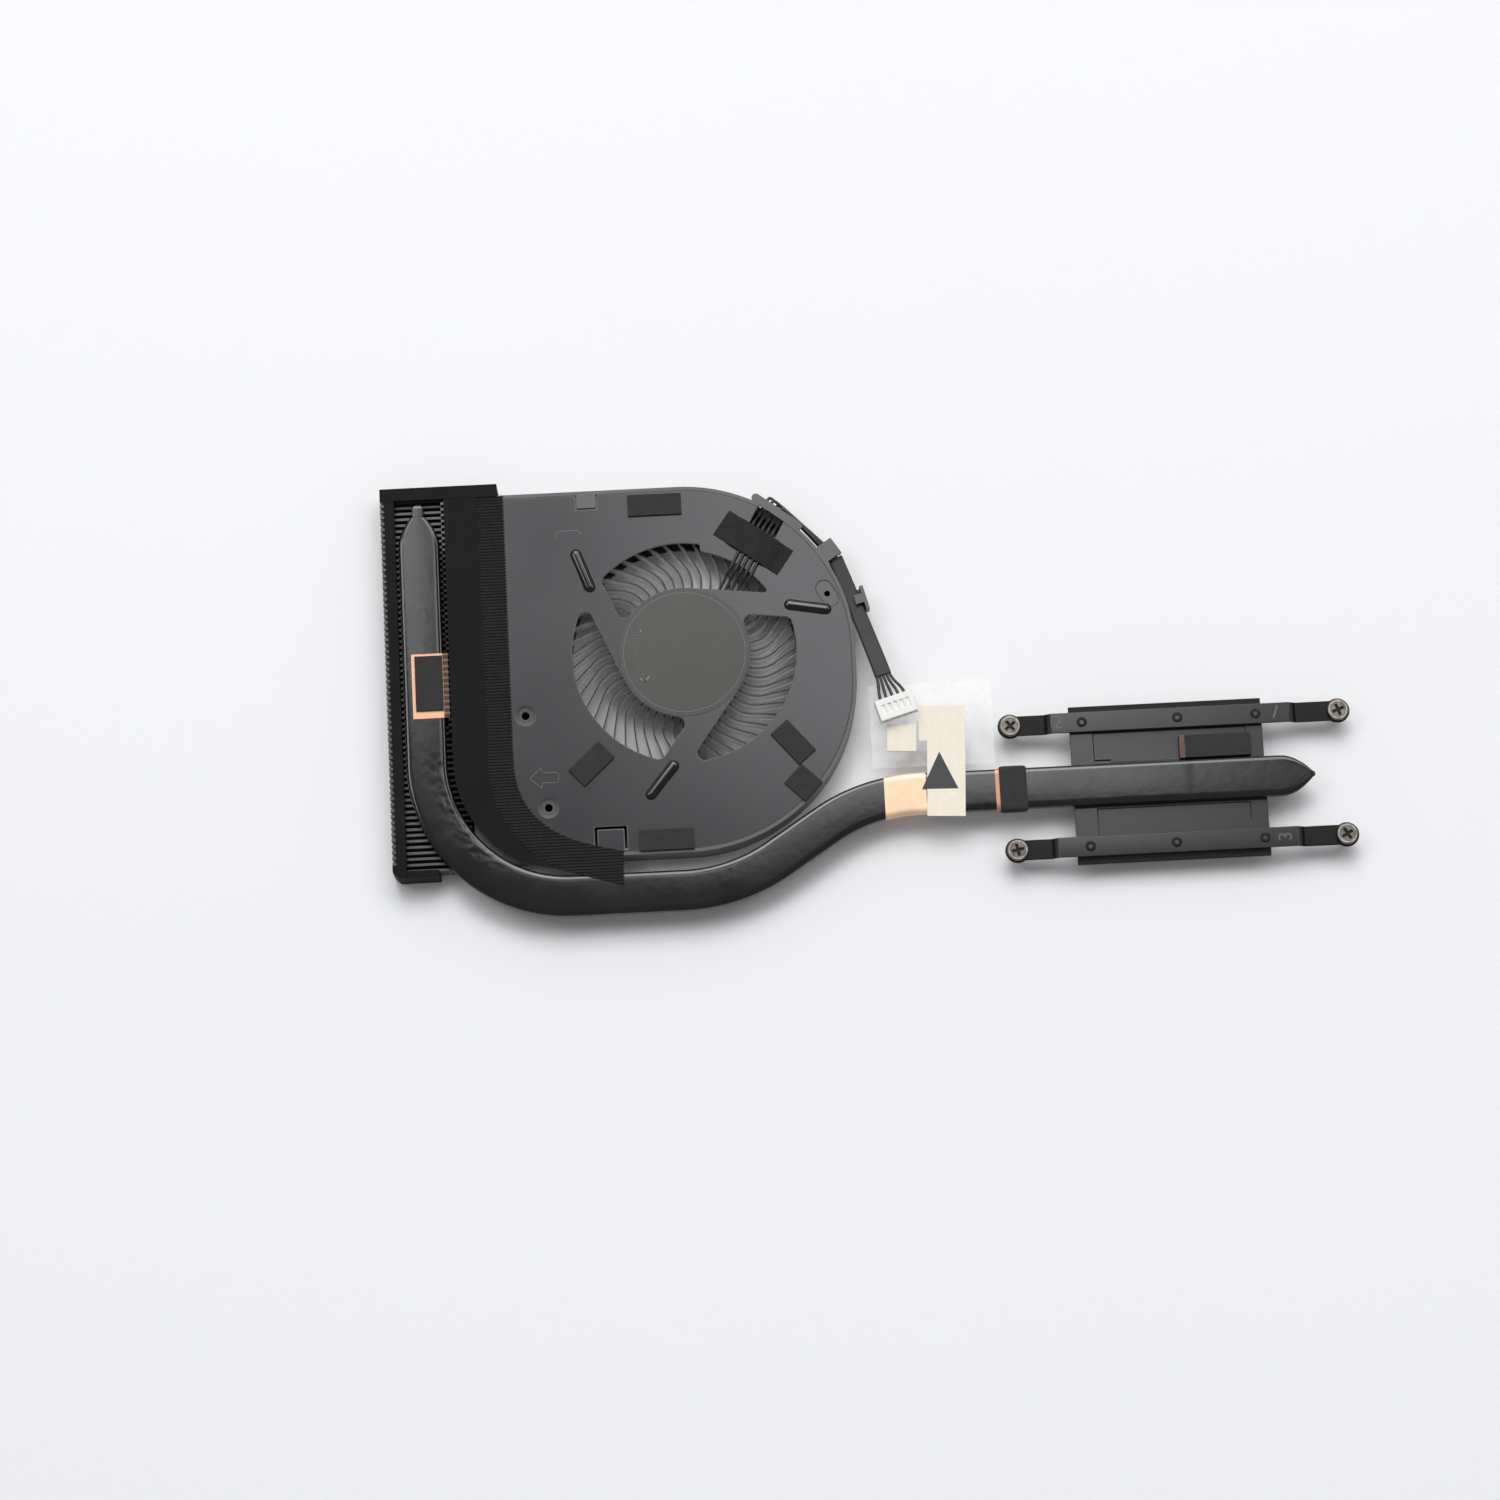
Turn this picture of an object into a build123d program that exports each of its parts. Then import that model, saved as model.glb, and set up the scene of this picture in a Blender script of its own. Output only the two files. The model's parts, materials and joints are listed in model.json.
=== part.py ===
from build123d import *
from math import atan2, cos, degrees, hypot, radians, sin, sqrt
import os

# Laptop cooling module: a flat blower fan blows through a fin stack, and a bent flat heat pipe
# carries the heat there from a cold plate that two spring arms press onto the processor.
# Millimetres. The origin is the centre of the cold plate's contact face, with +X along the plate
# away from the fan and +Z up. The module rests on the undersides of its fan and fin stack.

# Cold plate: copper contact block under a steel base plate with two raised rails
CONTACT_LENGTH = 30.0
CONTACT_WIDTH = 18.0
CONTACT_THICKNESS = 0.8
PLATE_LENGTH = 38.5
PLATE_WIDTH = 32.0
PLATE_THICKNESS = 0.8
RAIL_WIDTH = 3.0
RAIL_HEIGHT = 0.8
BORDER_LEFT = 4.6
BORDER_RIGHT = 3.4
POCKET_DEPTH = 0.25
POCKET_PIPE_GAP = 0.5
SLOT_LENGTH = 3.3
SLOT_WIDTH = 0.6
PAD_LENGTH = 13.2
PAD_WIDTH = 4.6
PAD_HEIGHT = 1.3
PAD_END_GAP = 2.6
PAD_EDGE = 1.1

# Spring arms with captive screws
ARM_ROW = 12.6
ARM_WIDTH = 4.0
ARM_THICKNESS = 0.6
ARM_DROP = 1.0
ARM_BEND_LEFT = 5.0
ARM_BEND_RIGHT = 6.8
ARM_BEND_RUN = 1.3
ARM_TAB_RADIUS = 2.45
SCREW_LEFT = -31.1
SCREW_RIGHT = 34.5
SCREW_HOLE_RADIUS = 1.25
HEAD_RADIUS = 2.15
HEAD_HEIGHT = 0.9
HEAD_SEAT_GAP = 0.05
RECESS_SPAN = 2.3
RECESS_WIDTH = 0.62
RECESS_DEPTH = 0.55
SCREW_NECK_RADIUS = 0.75
THREAD_RADIUS = 0.95
THREAD_LENGTH = 2.2
THREAD_RING_GAP = 0.05
RING_RADIUS = 1.75
RING_THICKNESS = 0.4
RING_CLEARANCE = 0.05
SCREW_LIFT = 1.2
SCREW_LIFT_STOP_GAP = 0.1

# Flat heat pipe
PIPE_WIDTH = 8.3
PIPE_THICKNESS = 2.2
PIPE_BEVEL = 0.32
PIPE_OFFSET_Y = -0.3
PIPE_TAPER_START = 22.0
PIPE_TIP = 28.95
PIPE_TIP_WIDTH = 1.5
PIPE_TIP_THICKNESS = 1.2
PIPE_PRESSED_FROM = 3.1
PIPE_PRESS_DEPTH = 0.12
LEG_BEND_RADIUS = 28.0
RUN_FAN_GAP = 3.4
SWAN_BEND_RADIUS = 35.0
SWAN_START = 8.0
SWAN_END = 35.0
NECK_LENGTH = 6.0
NOZZLE_WIDTH = 2.3
NOZZLE_THICKNESS = 1.8
NOZZLE_LENGTH = 2.9
NOZZLE_BEVEL = 0.5
DRAWN_STEPS = 5
NOZZLE_FIN_GAP = 1.9

# Fan, measured from its hub
HUB_X = -95.3
HUB_Y = 30.7
FAN_HEIGHT = 7.0
FAN_RADIUS = 34.2
RIGHT_FLAT = 6.0
SCROLL_RADIUS = 34.6
OUTLET = 43.3
WALL = 1.5
RIM_DROP = 0.1
MOTOR_PLATE_THICKNESS = 0.5
MOTOR_PLATE_INSET = 0.8
FIT_GAP = 0.05
COVER_THICKNESS = 0.4
COVER_INLET_RADIUS = 22.5
PIPE_FAN_GAP = 1.3
ROOF_GAP = 0.3
ROOF_THICKNESS = 0.5
TONGUE_GAP = 1.25
TONGUE_ANGLE = 118.0
TONGUE_REACH = 31.0
TONGUE_NOSE = 0.9

# Openings and pressings of the motor plate
DISC_RADIUS = 13.3
INLET_RADIUS = 22.4
SPOKES = 3
SPOKE_WIDTH = 4.8
SPOKE_ANGLE = 83.5
INLET_CORNER = 1.5
STEP_RADIUS = 20.9
STEP_END_ANGLE = 79.0
STEP_CORNER = 0.7
RIBS = 3
RIB_RING = 26.3
RIB_ANGLE = 138.0
RIB_SLANT = -30.0
RIB_LENGTH = 8.4
RIB_WIDTH = 1.9
RIB_HEIGHT = 0.5
RIB_SHOULDER = 0.18
RIB_SHOULDER_HEIGHT = 0.3
RIB_CROWN = 0.52
VENT_HOLES = ((-32.25, -11.4), (-28.4, -30.3))
VENT_HOLE_RADIUS = 0.8
VENT_DISH_RADIUS = 2.2
VENT_DISH_FLOOR = 1.4
VENT_DISH_DEPTH = 0.25
LUG_THICKNESS = 1.4
EAR_INSET = 3.14
EAR_BEARING = 19.95
EAR_LENGTH = 5.6
EAR_WIDTH = 3.2
EAR_ANGLE = -62.0
EAR_HOLE_RADIUS = 0.6
WINDOW_X = -18.3
WINDOW_LENGTH = 4.4
WINDOW_WIDTH = 3.0
WINDOW_LATCH_GAP = 0.3
LATCH_X = -16.3
LATCH_LENGTH = 6.4
LATCH_WIDTH = 4.6
LATCH_SLOT = 0.5

# Impeller and motor
BLADES = 49
BLADE_THICKNESS = 0.35
BLADE_HEIGHT = 4.4
BLADE_BEND_START = 13.6
BLADE_BEND_RADIUS = 6.0
BLADE_LEAN = 48.0
BLADE_TIP_GAP = 3.15
BLADE_FACETS = 2
ROTOR_GAP = 1.0
HUB_RADIUS = 12.4
HUB_WALL = 0.8
HUB_FLOOR = 0.6
YOKE_THICKNESS = 0.6
MAGNET_THICKNESS = 1.0
MAGNET_HEIGHT = 3.6
AIR_GAP = 0.4
STATOR_HEIGHT = 1.6
STATOR_HUB_RADIUS = 4.4
STATOR_SHOE = 1.2
POLES = 6
POLE_WIDTH = 1.9
SHOE_WIDTH = 6.4
COIL_WALL = 0.65
COIL_GAP = 0.05
SHAFT_RADIUS = 1.0
SHAFT_CLEARANCE = 0.03
SHAFT_END_GAP = 0.4
BEARING_RADIUS = 2.6
BEARING_END_GAP = 0.3
BOARD_RADIUS = 12.0
BOARD_THICKNESS = 0.5
LABEL_DISC_RADIUS = 13.1
LABEL_DISC_THICKNESS = 0.1

# Foam pads on the motor plate: centre, length, width and turn
PAD_THICKNESS = 0.6
PAD_BACK_INSET = 3.6
PAD_FRONT_INSET = 2.7
RIGHT_PAD = (20.8, -19.5, 8.4, 4.5, -50.0)
CORNER_PAD = (22.4, -27.8, 5.6, 5.2, -44.0)
LEFT_PAD = (-19.5, -21.9, 8.4, 4.6, 42.5)
BACK_PAD_X = -4.6
BACK_PAD_LENGTH = 10.8
BACK_PAD_WIDTH = 4.4
FRONT_PAD_X = -5.3
FRONT_PAD_LENGTH = 10.9
FRONT_PAD_WIDTH = 4.2

# Fan lead: five wires that leave the board at LEAD_ANGLE, side by side about LEAD_SHIFT
WIRES = 5
WIRE_RADIUS = 0.31
WIRE_SIDES = 5
WIRE_PITCH = 1.1
WIRE_LIFT = 0.05
LEAD_ANGLE = 60.3
LEAD_SHIFT = -2.6
LEAD_RISE_START = 17.0
LEAD_RISE_END = 19.8
LEAD_RISE_RADIUS = 2.0
LEAD_FALL_START = 29.8
LEAD_FALL_END = 33.0
LEAD_FALL_RADIUS = 1.2
LEAD_TURN = 36.3
LEAD_TURN_RADIUS = 0.95
LEAD_COLUMN = 0.68
LEAD_LAYER = 0.72
LEAD_END = (31.3, -18.1)
LEAD_DEPTH = 1.85
NOTCH_MARGIN = 0.5
NOTCH_DEPTH = 2.8
PATCH_CENTRE = (14.9, 21.8)
PATCH_LENGTH = 15.4
PATCH_WIDTH = 6.0
PATCH_ANGLE = -36.0
PATCH_THICKNESS = 0.15
PATCH_FLAT = 3.7
PATCH_SLOPE = 1.4
SLEEVE_WIDTH = 3.3
SLEEVE_THICKNESS = 1.3
SLEEVE_BEND = (37.25, 1.15)
SLEEVE_END = (39.4, -6.8)
SLEEVE_CLIMB = 2.6
SLEEVE_BEND_RADIUS = 25.0
SLEEVE_RECESS = 0.3
TAIL_SPREAD = 0.66
TAIL_STRAIGHT = 1.0
TAIL_RADIUS = 1.4

# Cable hooks on the fan frame: a finger, a bridge and a clip, flush with the rim
HOOK_THICKNESS = 0.8
FINGER_TIP_ANGLE = 63.0
FINGER_TIP_OUT = 0.8
FINGER_ROOT_ANGLE = 46.05
FINGER_ROOT_OUT = 0.4
FINGER_WIDTH = 1.7
BRIDGE_ANGLE = 33.2
BRIDGE_LENGTH = 3.7
BRIDGE_REACH = 3.4
BRIDGE_POST = 0.5
CLIP_ANGLE = 14.6
CLIP_LENGTH = 4.9
CLIP_REACH = 4.0
CLIP_POST = 0.7
CLIP_LIP = 1.7
CLIP_LIP_LENGTH = 1.9
SHELF_DROP = 0.35
SHELF_THICKNESS = 0.6

# Connector at the end of the lead
CONNECTOR_X = 41.6
CONNECTOR_Y = -13.6
CONNECTOR_ANGLE = 16.0
CONNECTOR_LENGTH = 7.9
CONNECTOR_DEPTH = 4.3
CONNECTOR_HEIGHT = 2.6
CONNECTOR_PITCH = 1.25
CONNECTOR_CHAMFER = 0.2
CAVITY = 0.9
TERMINAL = 0.74
TERMINAL_LENGTH = 3.2
LATCH_WINDOW = 0.65
LATCH_WINDOW_LENGTH = 1.8
LATCH_WINDOW_DEPTH = 0.35

# Fin stack, measured from the outlet of the fan
FINS = 64
FIN_PITCH = 1.2
FIN_THICKNESS = 0.2
FIN_TAB = 0.6
FIN_DEPTH = 16.0
FIN_GAP = 0.5
FIN_OVERHANG = 1.0
FIN_SHOULDER = 2.8
CHANNEL = 9.4
FIN_OPEN_FROM = -14.0

# Foam strips and tapes round the fin stack
STRIP_THICKNESS = 1.4
STRIP_FLAP = 1.2
STRIP_OVERHANG = 7.6
STRIP_LIFT = 0.2
STRIP_FRONT_LENGTH = 9.2
STRIP_CHAMFER = 1.2
OUTLET_STRIP_WIDTH = 2.0
OUTLET_STRIP_INSET = 0.8
TAPE_THICKNESS = 0.2
BAND_OVER_FINS = 3.7
SEAM_OVER_FAN = 3.1
CLOTH_OVER_FAN = 8.4
BAND_MIDDLE_ANGLE = 225.0
BAND_TAIL_ANGLE = 262.0
SEAM_TAIL = (-5.2, -20.85)
SEAM_TAIL_DIRECTION = (-1.0, 0.7)
CLOTH_TAIL_TOP = (10.5, -19.55)
CLOTH_TAIL_END = (10.3, -26.65)
CLOTH_TAIL_DIRECTION = (-1.0, 0.2)

# Foil, foam and paper on the heat pipe
FOIL_THICKNESS = 0.1
LEG_FOIL = (1.35, -4.4, 7.3, 13.2)
LEG_PAD = (1.1, -3.9, 5.5, 11.2)
LEG_PAD_HEIGHT = 0.6
RIGHT_FOIL_FROM = 38.0
RIGHT_FOIL_LENGTH = 7.2
WRAP_X = -31.3
WRAP_LENGTH = 5.4
WRAP_THICKNESS = 0.5
WRAP_FOIL_EDGE = 0.8
LABEL_ANGLE = -3.1
LABEL_X = -43.7
LABEL_BACK = 17.1
LABEL_LENGTH = 22.4
LABEL_WIDTH = 7.6
LABEL_HEAD_WIDTH = 9.2
LABEL_HEAD_LENGTH = 7.2
PAPER_THICKNESS = 0.15
TAB_X = -52.9
TAB_Y = 11.0
TAB_LENGTH = 5.8
TAB_WIDTH = 5.4
FILM_THICKNESS = 0.15
FILM_LEFT = -59.0
FILM_RIGHT = -34.5
FILM_BACK = 22.0
FILM_FRONT = 5.0
FILM_TONGUE = 20.0

# How far a cutting body runs past the faces it cuts, and how near two angles count as one
CUT = 1.0
SAME_ANGLE = 0.01

# Levels
PLATE_Z = CONTACT_THICKNESS
PIPE_Z = PLATE_Z + PLATE_THICKNESS
PIPE_TOP = PIPE_Z + PIPE_THICKNESS
ARM_Z = PIPE_Z + RAIL_HEIGHT
ARM_END_Z = ARM_Z - ARM_DROP
FAN_TOP = PIPE_TOP
FAN_BASE = FAN_TOP - FAN_HEIGHT
MOTOR_PLATE_Z = FAN_TOP - MOTOR_PLATE_THICKNESS
COVER_TOP = FAN_BASE + COVER_THICKNESS
ROOF_TOP = PIPE_Z - ROOF_GAP
RIM_TOP = FAN_TOP - RIM_DROP
ROTOR_Z = COVER_TOP + ROTOR_GAP - HUB_FLOOR
WIRE_LOW_Z = MOTOR_PLATE_Z - WIRE_LIFT - WIRE_RADIUS
WIRE_TOP_Z = FAN_TOP + WIRE_LIFT + WIRE_RADIUS
LEAD_Z = RIM_TOP - LEAD_DEPTH
HOOK_Z = RIM_TOP - HOOK_THICKNESS

# Places that follow from the sizes above, from the hub
PIPE_HALF = PIPE_WIDTH / 2
FIN_RIGHT = -OUTLET - FIN_GAP
FIN_LEFT = FIN_RIGHT - FIN_DEPTH
CHANNEL_LEFT = FIN_LEFT + FIN_SHOULDER
CHANNEL_RIGHT = CHANNEL_LEFT + CHANNEL
FIN_BACK = FAN_RADIUS + FIN_OVERHANG
FIN_FRONT = FIN_BACK - FINS * FIN_PITCH
FAN_FRONT = -RIGHT_FLAT - SCROLL_RADIUS
SCROLL_X = FAN_RADIUS - SCROLL_RADIUS
LEG_X = (CHANNEL_LEFT + CHANNEL_RIGHT) / 2
RUN_Y = FAN_FRONT - RUN_FAN_GAP - PIPE_HALF
BEND_X = LEG_X + LEG_BEND_RADIUS
BEND_Y = RUN_Y + LEG_BEND_RADIUS
PIPE_Y = PIPE_OFFSET_Y - HUB_Y
LEG_TOP = FIN_BACK - NOZZLE_FIN_GAP - NOZZLE_LENGTH - NECK_LENGTH
BAND_LEFT = -OUTLET - BAND_OVER_FINS
BAND_SEAM = -OUTLET + SEAM_OVER_FAN
CLOTH_RIGHT = -OUTLET + CLOTH_OVER_FAN
IMPELLER_RADIUS = FAN_RADIUS - WALL - BLADE_TIP_GAP
TONGUE_RADIUS = IMPELLER_RADIUS + TONGUE_GAP
BACK_PAD = (BACK_PAD_X, FAN_RADIUS - PAD_BACK_INSET, BACK_PAD_LENGTH, BACK_PAD_WIDTH, 0.0)
FRONT_PAD = (FRONT_PAD_X, FAN_FRONT + PAD_FRONT_INSET, FRONT_PAD_LENGTH, FRONT_PAD_WIDTH, 0.0)
FAN_PADS = (BACK_PAD, RIGHT_PAD, CORNER_PAD, LEFT_PAD, FRONT_PAD)
HUB = Pos(HUB_X, HUB_Y, 0)


def polar(radius, angle, z=0.0):
    return (radius * cos(radians(angle)), radius * sin(radians(angle)), z)


def block(x0, x1, y0, y1, z0, z1):
    return Pos((x0 + x1) / 2, (y0 + y1) / 2, (z0 + z1) / 2) * Box(x1 - x0, y1 - y0, z1 - z0)


def disc(x, y, z0, z1, radius):
    return Pos(x, y, (z0 + z1) / 2) * Cylinder(radius, z1 - z0)


def tube(z0, z1, outer, inner):
    return disc(0, 0, z0, z1, outer) - disc(0, 0, z0 - CUT, z1 + CUT, inner)


def slab(face, z0, z1):
    return extrude(Pos(0, 0, z0) * face, amount=z1 - z0, dir=(0, 0, 1))


def prism_along_y(points, y0, length):
    outline = Polyline(*[(x, y0, z) for x, z in points], close=True)
    return extrude(make_face(outline), amount=length, dir=(0, 1, 0))


def one_part(pieces):
    return Part() + list(pieces)


# Cold plate and spring arms


def contact_plate():
    return block(-CONTACT_LENGTH / 2, CONTACT_LENGTH / 2, -CONTACT_WIDTH / 2, CONTACT_WIDTH / 2, 0, PLATE_Z)


def base_plate():
    half_x = PLATE_LENGTH / 2
    half_y = PLATE_WIDTH / 2
    plate = block(-half_x, half_x, -half_y, half_y, PLATE_Z, PIPE_Z)
    rails = []
    pockets = []
    for side in (1, -1):
        rail_y = side * ARM_ROW
        rails.append(block(-half_x, half_x, rail_y - RAIL_WIDTH / 2, rail_y + RAIL_WIDTH / 2, PIPE_Z, ARM_Z))
        inner = PIPE_OFFSET_Y + side * (PIPE_HALF + POCKET_PIPE_GAP)
        outer = side * (ARM_ROW - RAIL_WIDTH / 2)
        pocket_y = sorted((inner, outer))
        pockets.append(
            block(-half_x + BORDER_LEFT, half_x - BORDER_RIGHT, *pocket_y, PIPE_Z - POCKET_DEPTH, ARM_Z)
        )
    plate = plate + rails - pockets
    slot_x = -half_x + BORDER_LEFT
    slot_y = PIPE_OFFSET_Y + PIPE_HALF + POCKET_PIPE_GAP
    return plate - block(slot_x, slot_x + SLOT_LENGTH, slot_y, slot_y + SLOT_WIDTH, PLATE_Z - CUT, ARM_Z)


def spring_arm(side):
    left = -PLATE_LENGTH / 2 - ARM_BEND_LEFT
    right = PLATE_LENGTH / 2 + ARM_BEND_RIGHT
    under = [
        (SCREW_LEFT, ARM_END_Z),
        (left, ARM_END_Z),
        (left + ARM_BEND_RUN, ARM_Z),
        (right - ARM_BEND_RUN, ARM_Z),
        (right, ARM_END_Z),
        (SCREW_RIGHT, ARM_END_Z),
    ]
    over = [(x, z + ARM_THICKNESS) for x, z in reversed(under)]
    row = side * ARM_ROW
    arm = prism_along_y(under + over, row - ARM_WIDTH / 2, ARM_WIDTH)
    for x in (SCREW_LEFT, SCREW_RIGHT):
        arm += disc(x, row, ARM_END_Z, ARM_END_Z + ARM_THICKNESS, ARM_TAB_RADIUS)
    for x in (SCREW_LEFT, SCREW_RIGHT):
        arm -= disc(x, row, ARM_END_Z - CUT, ARM_Z + CUT, SCREW_HOLE_RADIUS)
    return arm


def plate_pad_box():
    x1 = PLATE_LENGTH / 2 - PAD_END_GAP
    y0 = PIPE_OFFSET_Y + PIPE_HALF + POCKET_PIPE_GAP
    return x1 - PAD_LENGTH, x1, y0, y0 + PAD_WIDTH


def plate_pad():
    x0, x1, y0, y1 = plate_pad_box()
    bed = PIPE_Z - POCKET_DEPTH
    border = PLATE_LENGTH / 2 - BORDER_RIGHT
    pad = block(x0, x1, y0, y1, bed, PIPE_Z + PAD_HEIGHT)
    return pad - block(border, x1 + CUT, y0 - CUT, y1 + CUT, bed - CUT, PIPE_Z)


def plate_pad_edge():
    x0, x1, y0, y1 = plate_pad_box()
    return block(x0 - PAD_EDGE, x0, y0, y1, PIPE_Z - POCKET_DEPTH, PIPE_Z + PAD_HEIGHT)


def screw_places():
    return [(x, side * ARM_ROW) for side in (1, -1) for x in (SCREW_LEFT, SCREW_RIGHT)]


def head_z():
    return ARM_END_Z + ARM_THICKNESS + HEAD_SEAT_GAP


def ring_top():
    return ARM_END_Z - SCREW_LIFT - SCREW_LIFT_STOP_GAP


def captive_screw(x, y):
    seat = head_z()
    head = disc(0, 0, seat, seat + HEAD_HEIGHT, HEAD_RADIUS)
    top = seat + HEAD_HEIGHT
    for length, width in ((RECESS_SPAN, RECESS_WIDTH), (RECESS_WIDTH, RECESS_SPAN)):
        head -= block(-length / 2, length / 2, -width / 2, width / 2, top - RECESS_DEPTH, top + CUT)
    thread_top = ring_top() - RING_THICKNESS - THREAD_RING_GAP
    neck = disc(0, 0, thread_top, seat, SCREW_NECK_RADIUS)
    thread = disc(0, 0, thread_top - THREAD_LENGTH, thread_top, THREAD_RADIUS)
    return Pos(x, y, 0) * (head + neck + thread)


def retaining_ring(x, y):
    top = ring_top()
    return Pos(x, y, 0) * tube(top - RING_THICKNESS, top, RING_RADIUS, SCREW_NECK_RADIUS + RING_CLEARANCE)


# Heat pipe


def pipe_points():
    leg = [(LEG_X, LEG_TOP), (LEG_X, RUN_Y)]
    swan = [(SWAN_START, RUN_Y), (SWAN_END, PIPE_Y)]
    return leg + swan + [(PIPE_TAPER_START - HUB_X, PIPE_Y)]


def pipe_path():
    points = [Vector(x + HUB_X, y + HUB_Y, PIPE_Z + PIPE_THICKNESS / 2) for x, y in pipe_points()]
    return FilletPolyline(*points, radius=[LEG_BEND_RADIUS, SWAN_BEND_RADIUS, SWAN_BEND_RADIUS])


def pipe_section(plane, width, thickness):
    flat = Rectangle(width, thickness)
    return plane * chamfer(flat.vertices(), thickness * PIPE_BEVEL)


def section_plane(path, place, ahead=1):
    spot = path @ place
    travel = (path % place) * ahead
    side = travel.cross(Vector(0, 0, 1))
    return Plane(origin=spot, x_dir=side, z_dir=travel)


def drawn_end(path, place, ahead, steps):
    first = section_plane(path, place, ahead)
    sections = [pipe_section(first, PIPE_WIDTH, PIPE_THICKNESS)]
    for reach, width, thickness in steps:
        sections.append(pipe_section(first.offset(reach), width, thickness))
    return loft(sections, ruled=True)


def drawn_steps(length, width, thickness):
    steps = []
    for step in range(1, DRAWN_STEPS + 1):
        share = step / DRAWN_STEPS
        narrowing = (PIPE_WIDTH - width) * share**2
        thinning = (PIPE_THICKNESS - thickness) * share**2
        steps.append((length * share, PIPE_WIDTH - narrowing, PIPE_THICKNESS - thinning))
    return steps


def nozzle_steps():
    end = NECK_LENGTH + NOZZLE_LENGTH
    bevel = 2 * NOZZLE_BEVEL
    shoulder = (end - NOZZLE_BEVEL, NOZZLE_WIDTH, NOZZLE_THICKNESS)
    return [shoulder, (end, NOZZLE_WIDTH - bevel, NOZZLE_THICKNESS - bevel)]


def heat_pipe():
    path = pipe_path()
    body = sweep(pipe_section(section_plane(path, 0), PIPE_WIDTH, PIPE_THICKNESS), path=path)
    neck = drawn_steps(NECK_LENGTH, NOZZLE_WIDTH, NOZZLE_THICKNESS) + nozzle_steps()
    tip = drawn_steps(PIPE_TIP - PIPE_TAPER_START, PIPE_TIP_WIDTH, PIPE_TIP_THICKNESS)
    pipe = body + drawn_end(path, 0, -1, neck) + drawn_end(path, 1, 1, tip)
    pressed_z = PIPE_TOP - PIPE_PRESS_DEPTH
    pressed = block(PIPE_PRESSED_FROM, PIPE_TIP + CUT, -PIPE_WIDTH, PIPE_WIDTH, pressed_z, PIPE_TOP + CUT)
    return pipe - pressed


def pipe_jacket(path, thickness):
    plane = section_plane(path, 0)
    outer = sweep(pipe_section(plane, PIPE_WIDTH + 2 * thickness, PIPE_THICKNESS + 2 * thickness), path=path)
    return outer - sweep(pipe_section(plane, PIPE_WIDTH, PIPE_THICKNESS), path=path)


def straight_jacket(x0, x1, inner, outer):
    centre = (x0, PIPE_OFFSET_Y, PIPE_Z + PIPE_THICKNESS / 2)
    start = Plane(origin=centre, x_dir=(0, 1, 0), z_dir=(1, 0, 0))
    skin = pipe_section(start, PIPE_WIDTH + 2 * outer, PIPE_THICKNESS + 2 * outer)
    core = pipe_section(start, PIPE_WIDTH + 2 * inner, PIPE_THICKNESS + 2 * inner)
    return extrude(skin - core, amount=x1 - x0)


def pipe_foil_right():
    path = pipe_path()
    end = path.length - (PIPE_TAPER_START - HUB_X - RIGHT_FOIL_FROM - RIGHT_FOIL_LENGTH)
    start = end - RIGHT_FOIL_LENGTH
    return pipe_jacket(path.trim(start / path.length, end / path.length), FOIL_THICKNESS)


def pipe_wrap_foil():
    left = WRAP_X - WRAP_LENGTH / 2
    return straight_jacket(left - WRAP_FOIL_EDGE, left + WRAP_LENGTH / 2, 0, FOIL_THICKNESS)


def pipe_wrap():
    left = WRAP_X - WRAP_LENGTH / 2
    right = WRAP_X + WRAP_LENGTH / 2
    over_foil = straight_jacket(left, WRAP_X, FOIL_THICKNESS, WRAP_THICKNESS)
    return over_foil + straight_jacket(WRAP_X, right, 0, WRAP_THICKNESS)


def on_pipe(spec, z0, z1):
    aside, y, length_x, length_y = spec
    x = LEG_X + aside
    return HUB * block(x - length_x / 2, x + length_x / 2, y - length_y / 2, y + length_y / 2, z0, z1)


# Fin stack and the strips and tapes that close it


def fin_outline(open_front):
    points = [(FIN_LEFT, FAN_BASE), (FIN_LEFT, PIPE_TOP), (CHANNEL_LEFT, PIPE_TOP), (CHANNEL_LEFT, PIPE_Z)]
    if not open_front:
        points += [(CHANNEL_RIGHT, PIPE_Z), (CHANNEL_RIGHT, PIPE_TOP), (FIN_RIGHT, PIPE_TOP)]
    else:
        points += [(FIN_RIGHT, PIPE_Z)]
    return points + [(FIN_RIGHT, FAN_BASE)]


def fin_stack():
    pieces = [block(FIN_LEFT, FIN_RIGHT, FIN_FRONT, FIN_BACK, FAN_BASE, FAN_BASE + FIN_THICKNESS)]
    for index in range(FINS):
        y = FIN_FRONT + index * FIN_PITCH
        open_front = y < FIN_OPEN_FROM
        pieces.append(prism_along_y(fin_outline(open_front), y, FIN_THICKNESS))
        under = PIPE_TOP - FIN_THICKNESS
        pieces.append(block(FIN_LEFT, CHANNEL_LEFT, y, y + FIN_TAB, under, PIPE_TOP))
        if not open_front:
            pieces.append(block(CHANNEL_RIGHT, FIN_RIGHT, y, y + FIN_TAB, under, PIPE_TOP))
    return HUB * one_part(pieces)


def fin_strip_back():
    right = FIN_RIGHT + STRIP_OVERHANG
    wall = block(FIN_LEFT, right, FIN_BACK, FIN_BACK + STRIP_THICKNESS, FAN_BASE, PIPE_TOP)
    back = FIN_BACK + STRIP_THICKNESS
    flap = block(FIN_LEFT, right, FIN_BACK - STRIP_FLAP, back, PIPE_TOP, PIPE_TOP + STRIP_LIFT)
    return HUB * (wall + flap)


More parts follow.
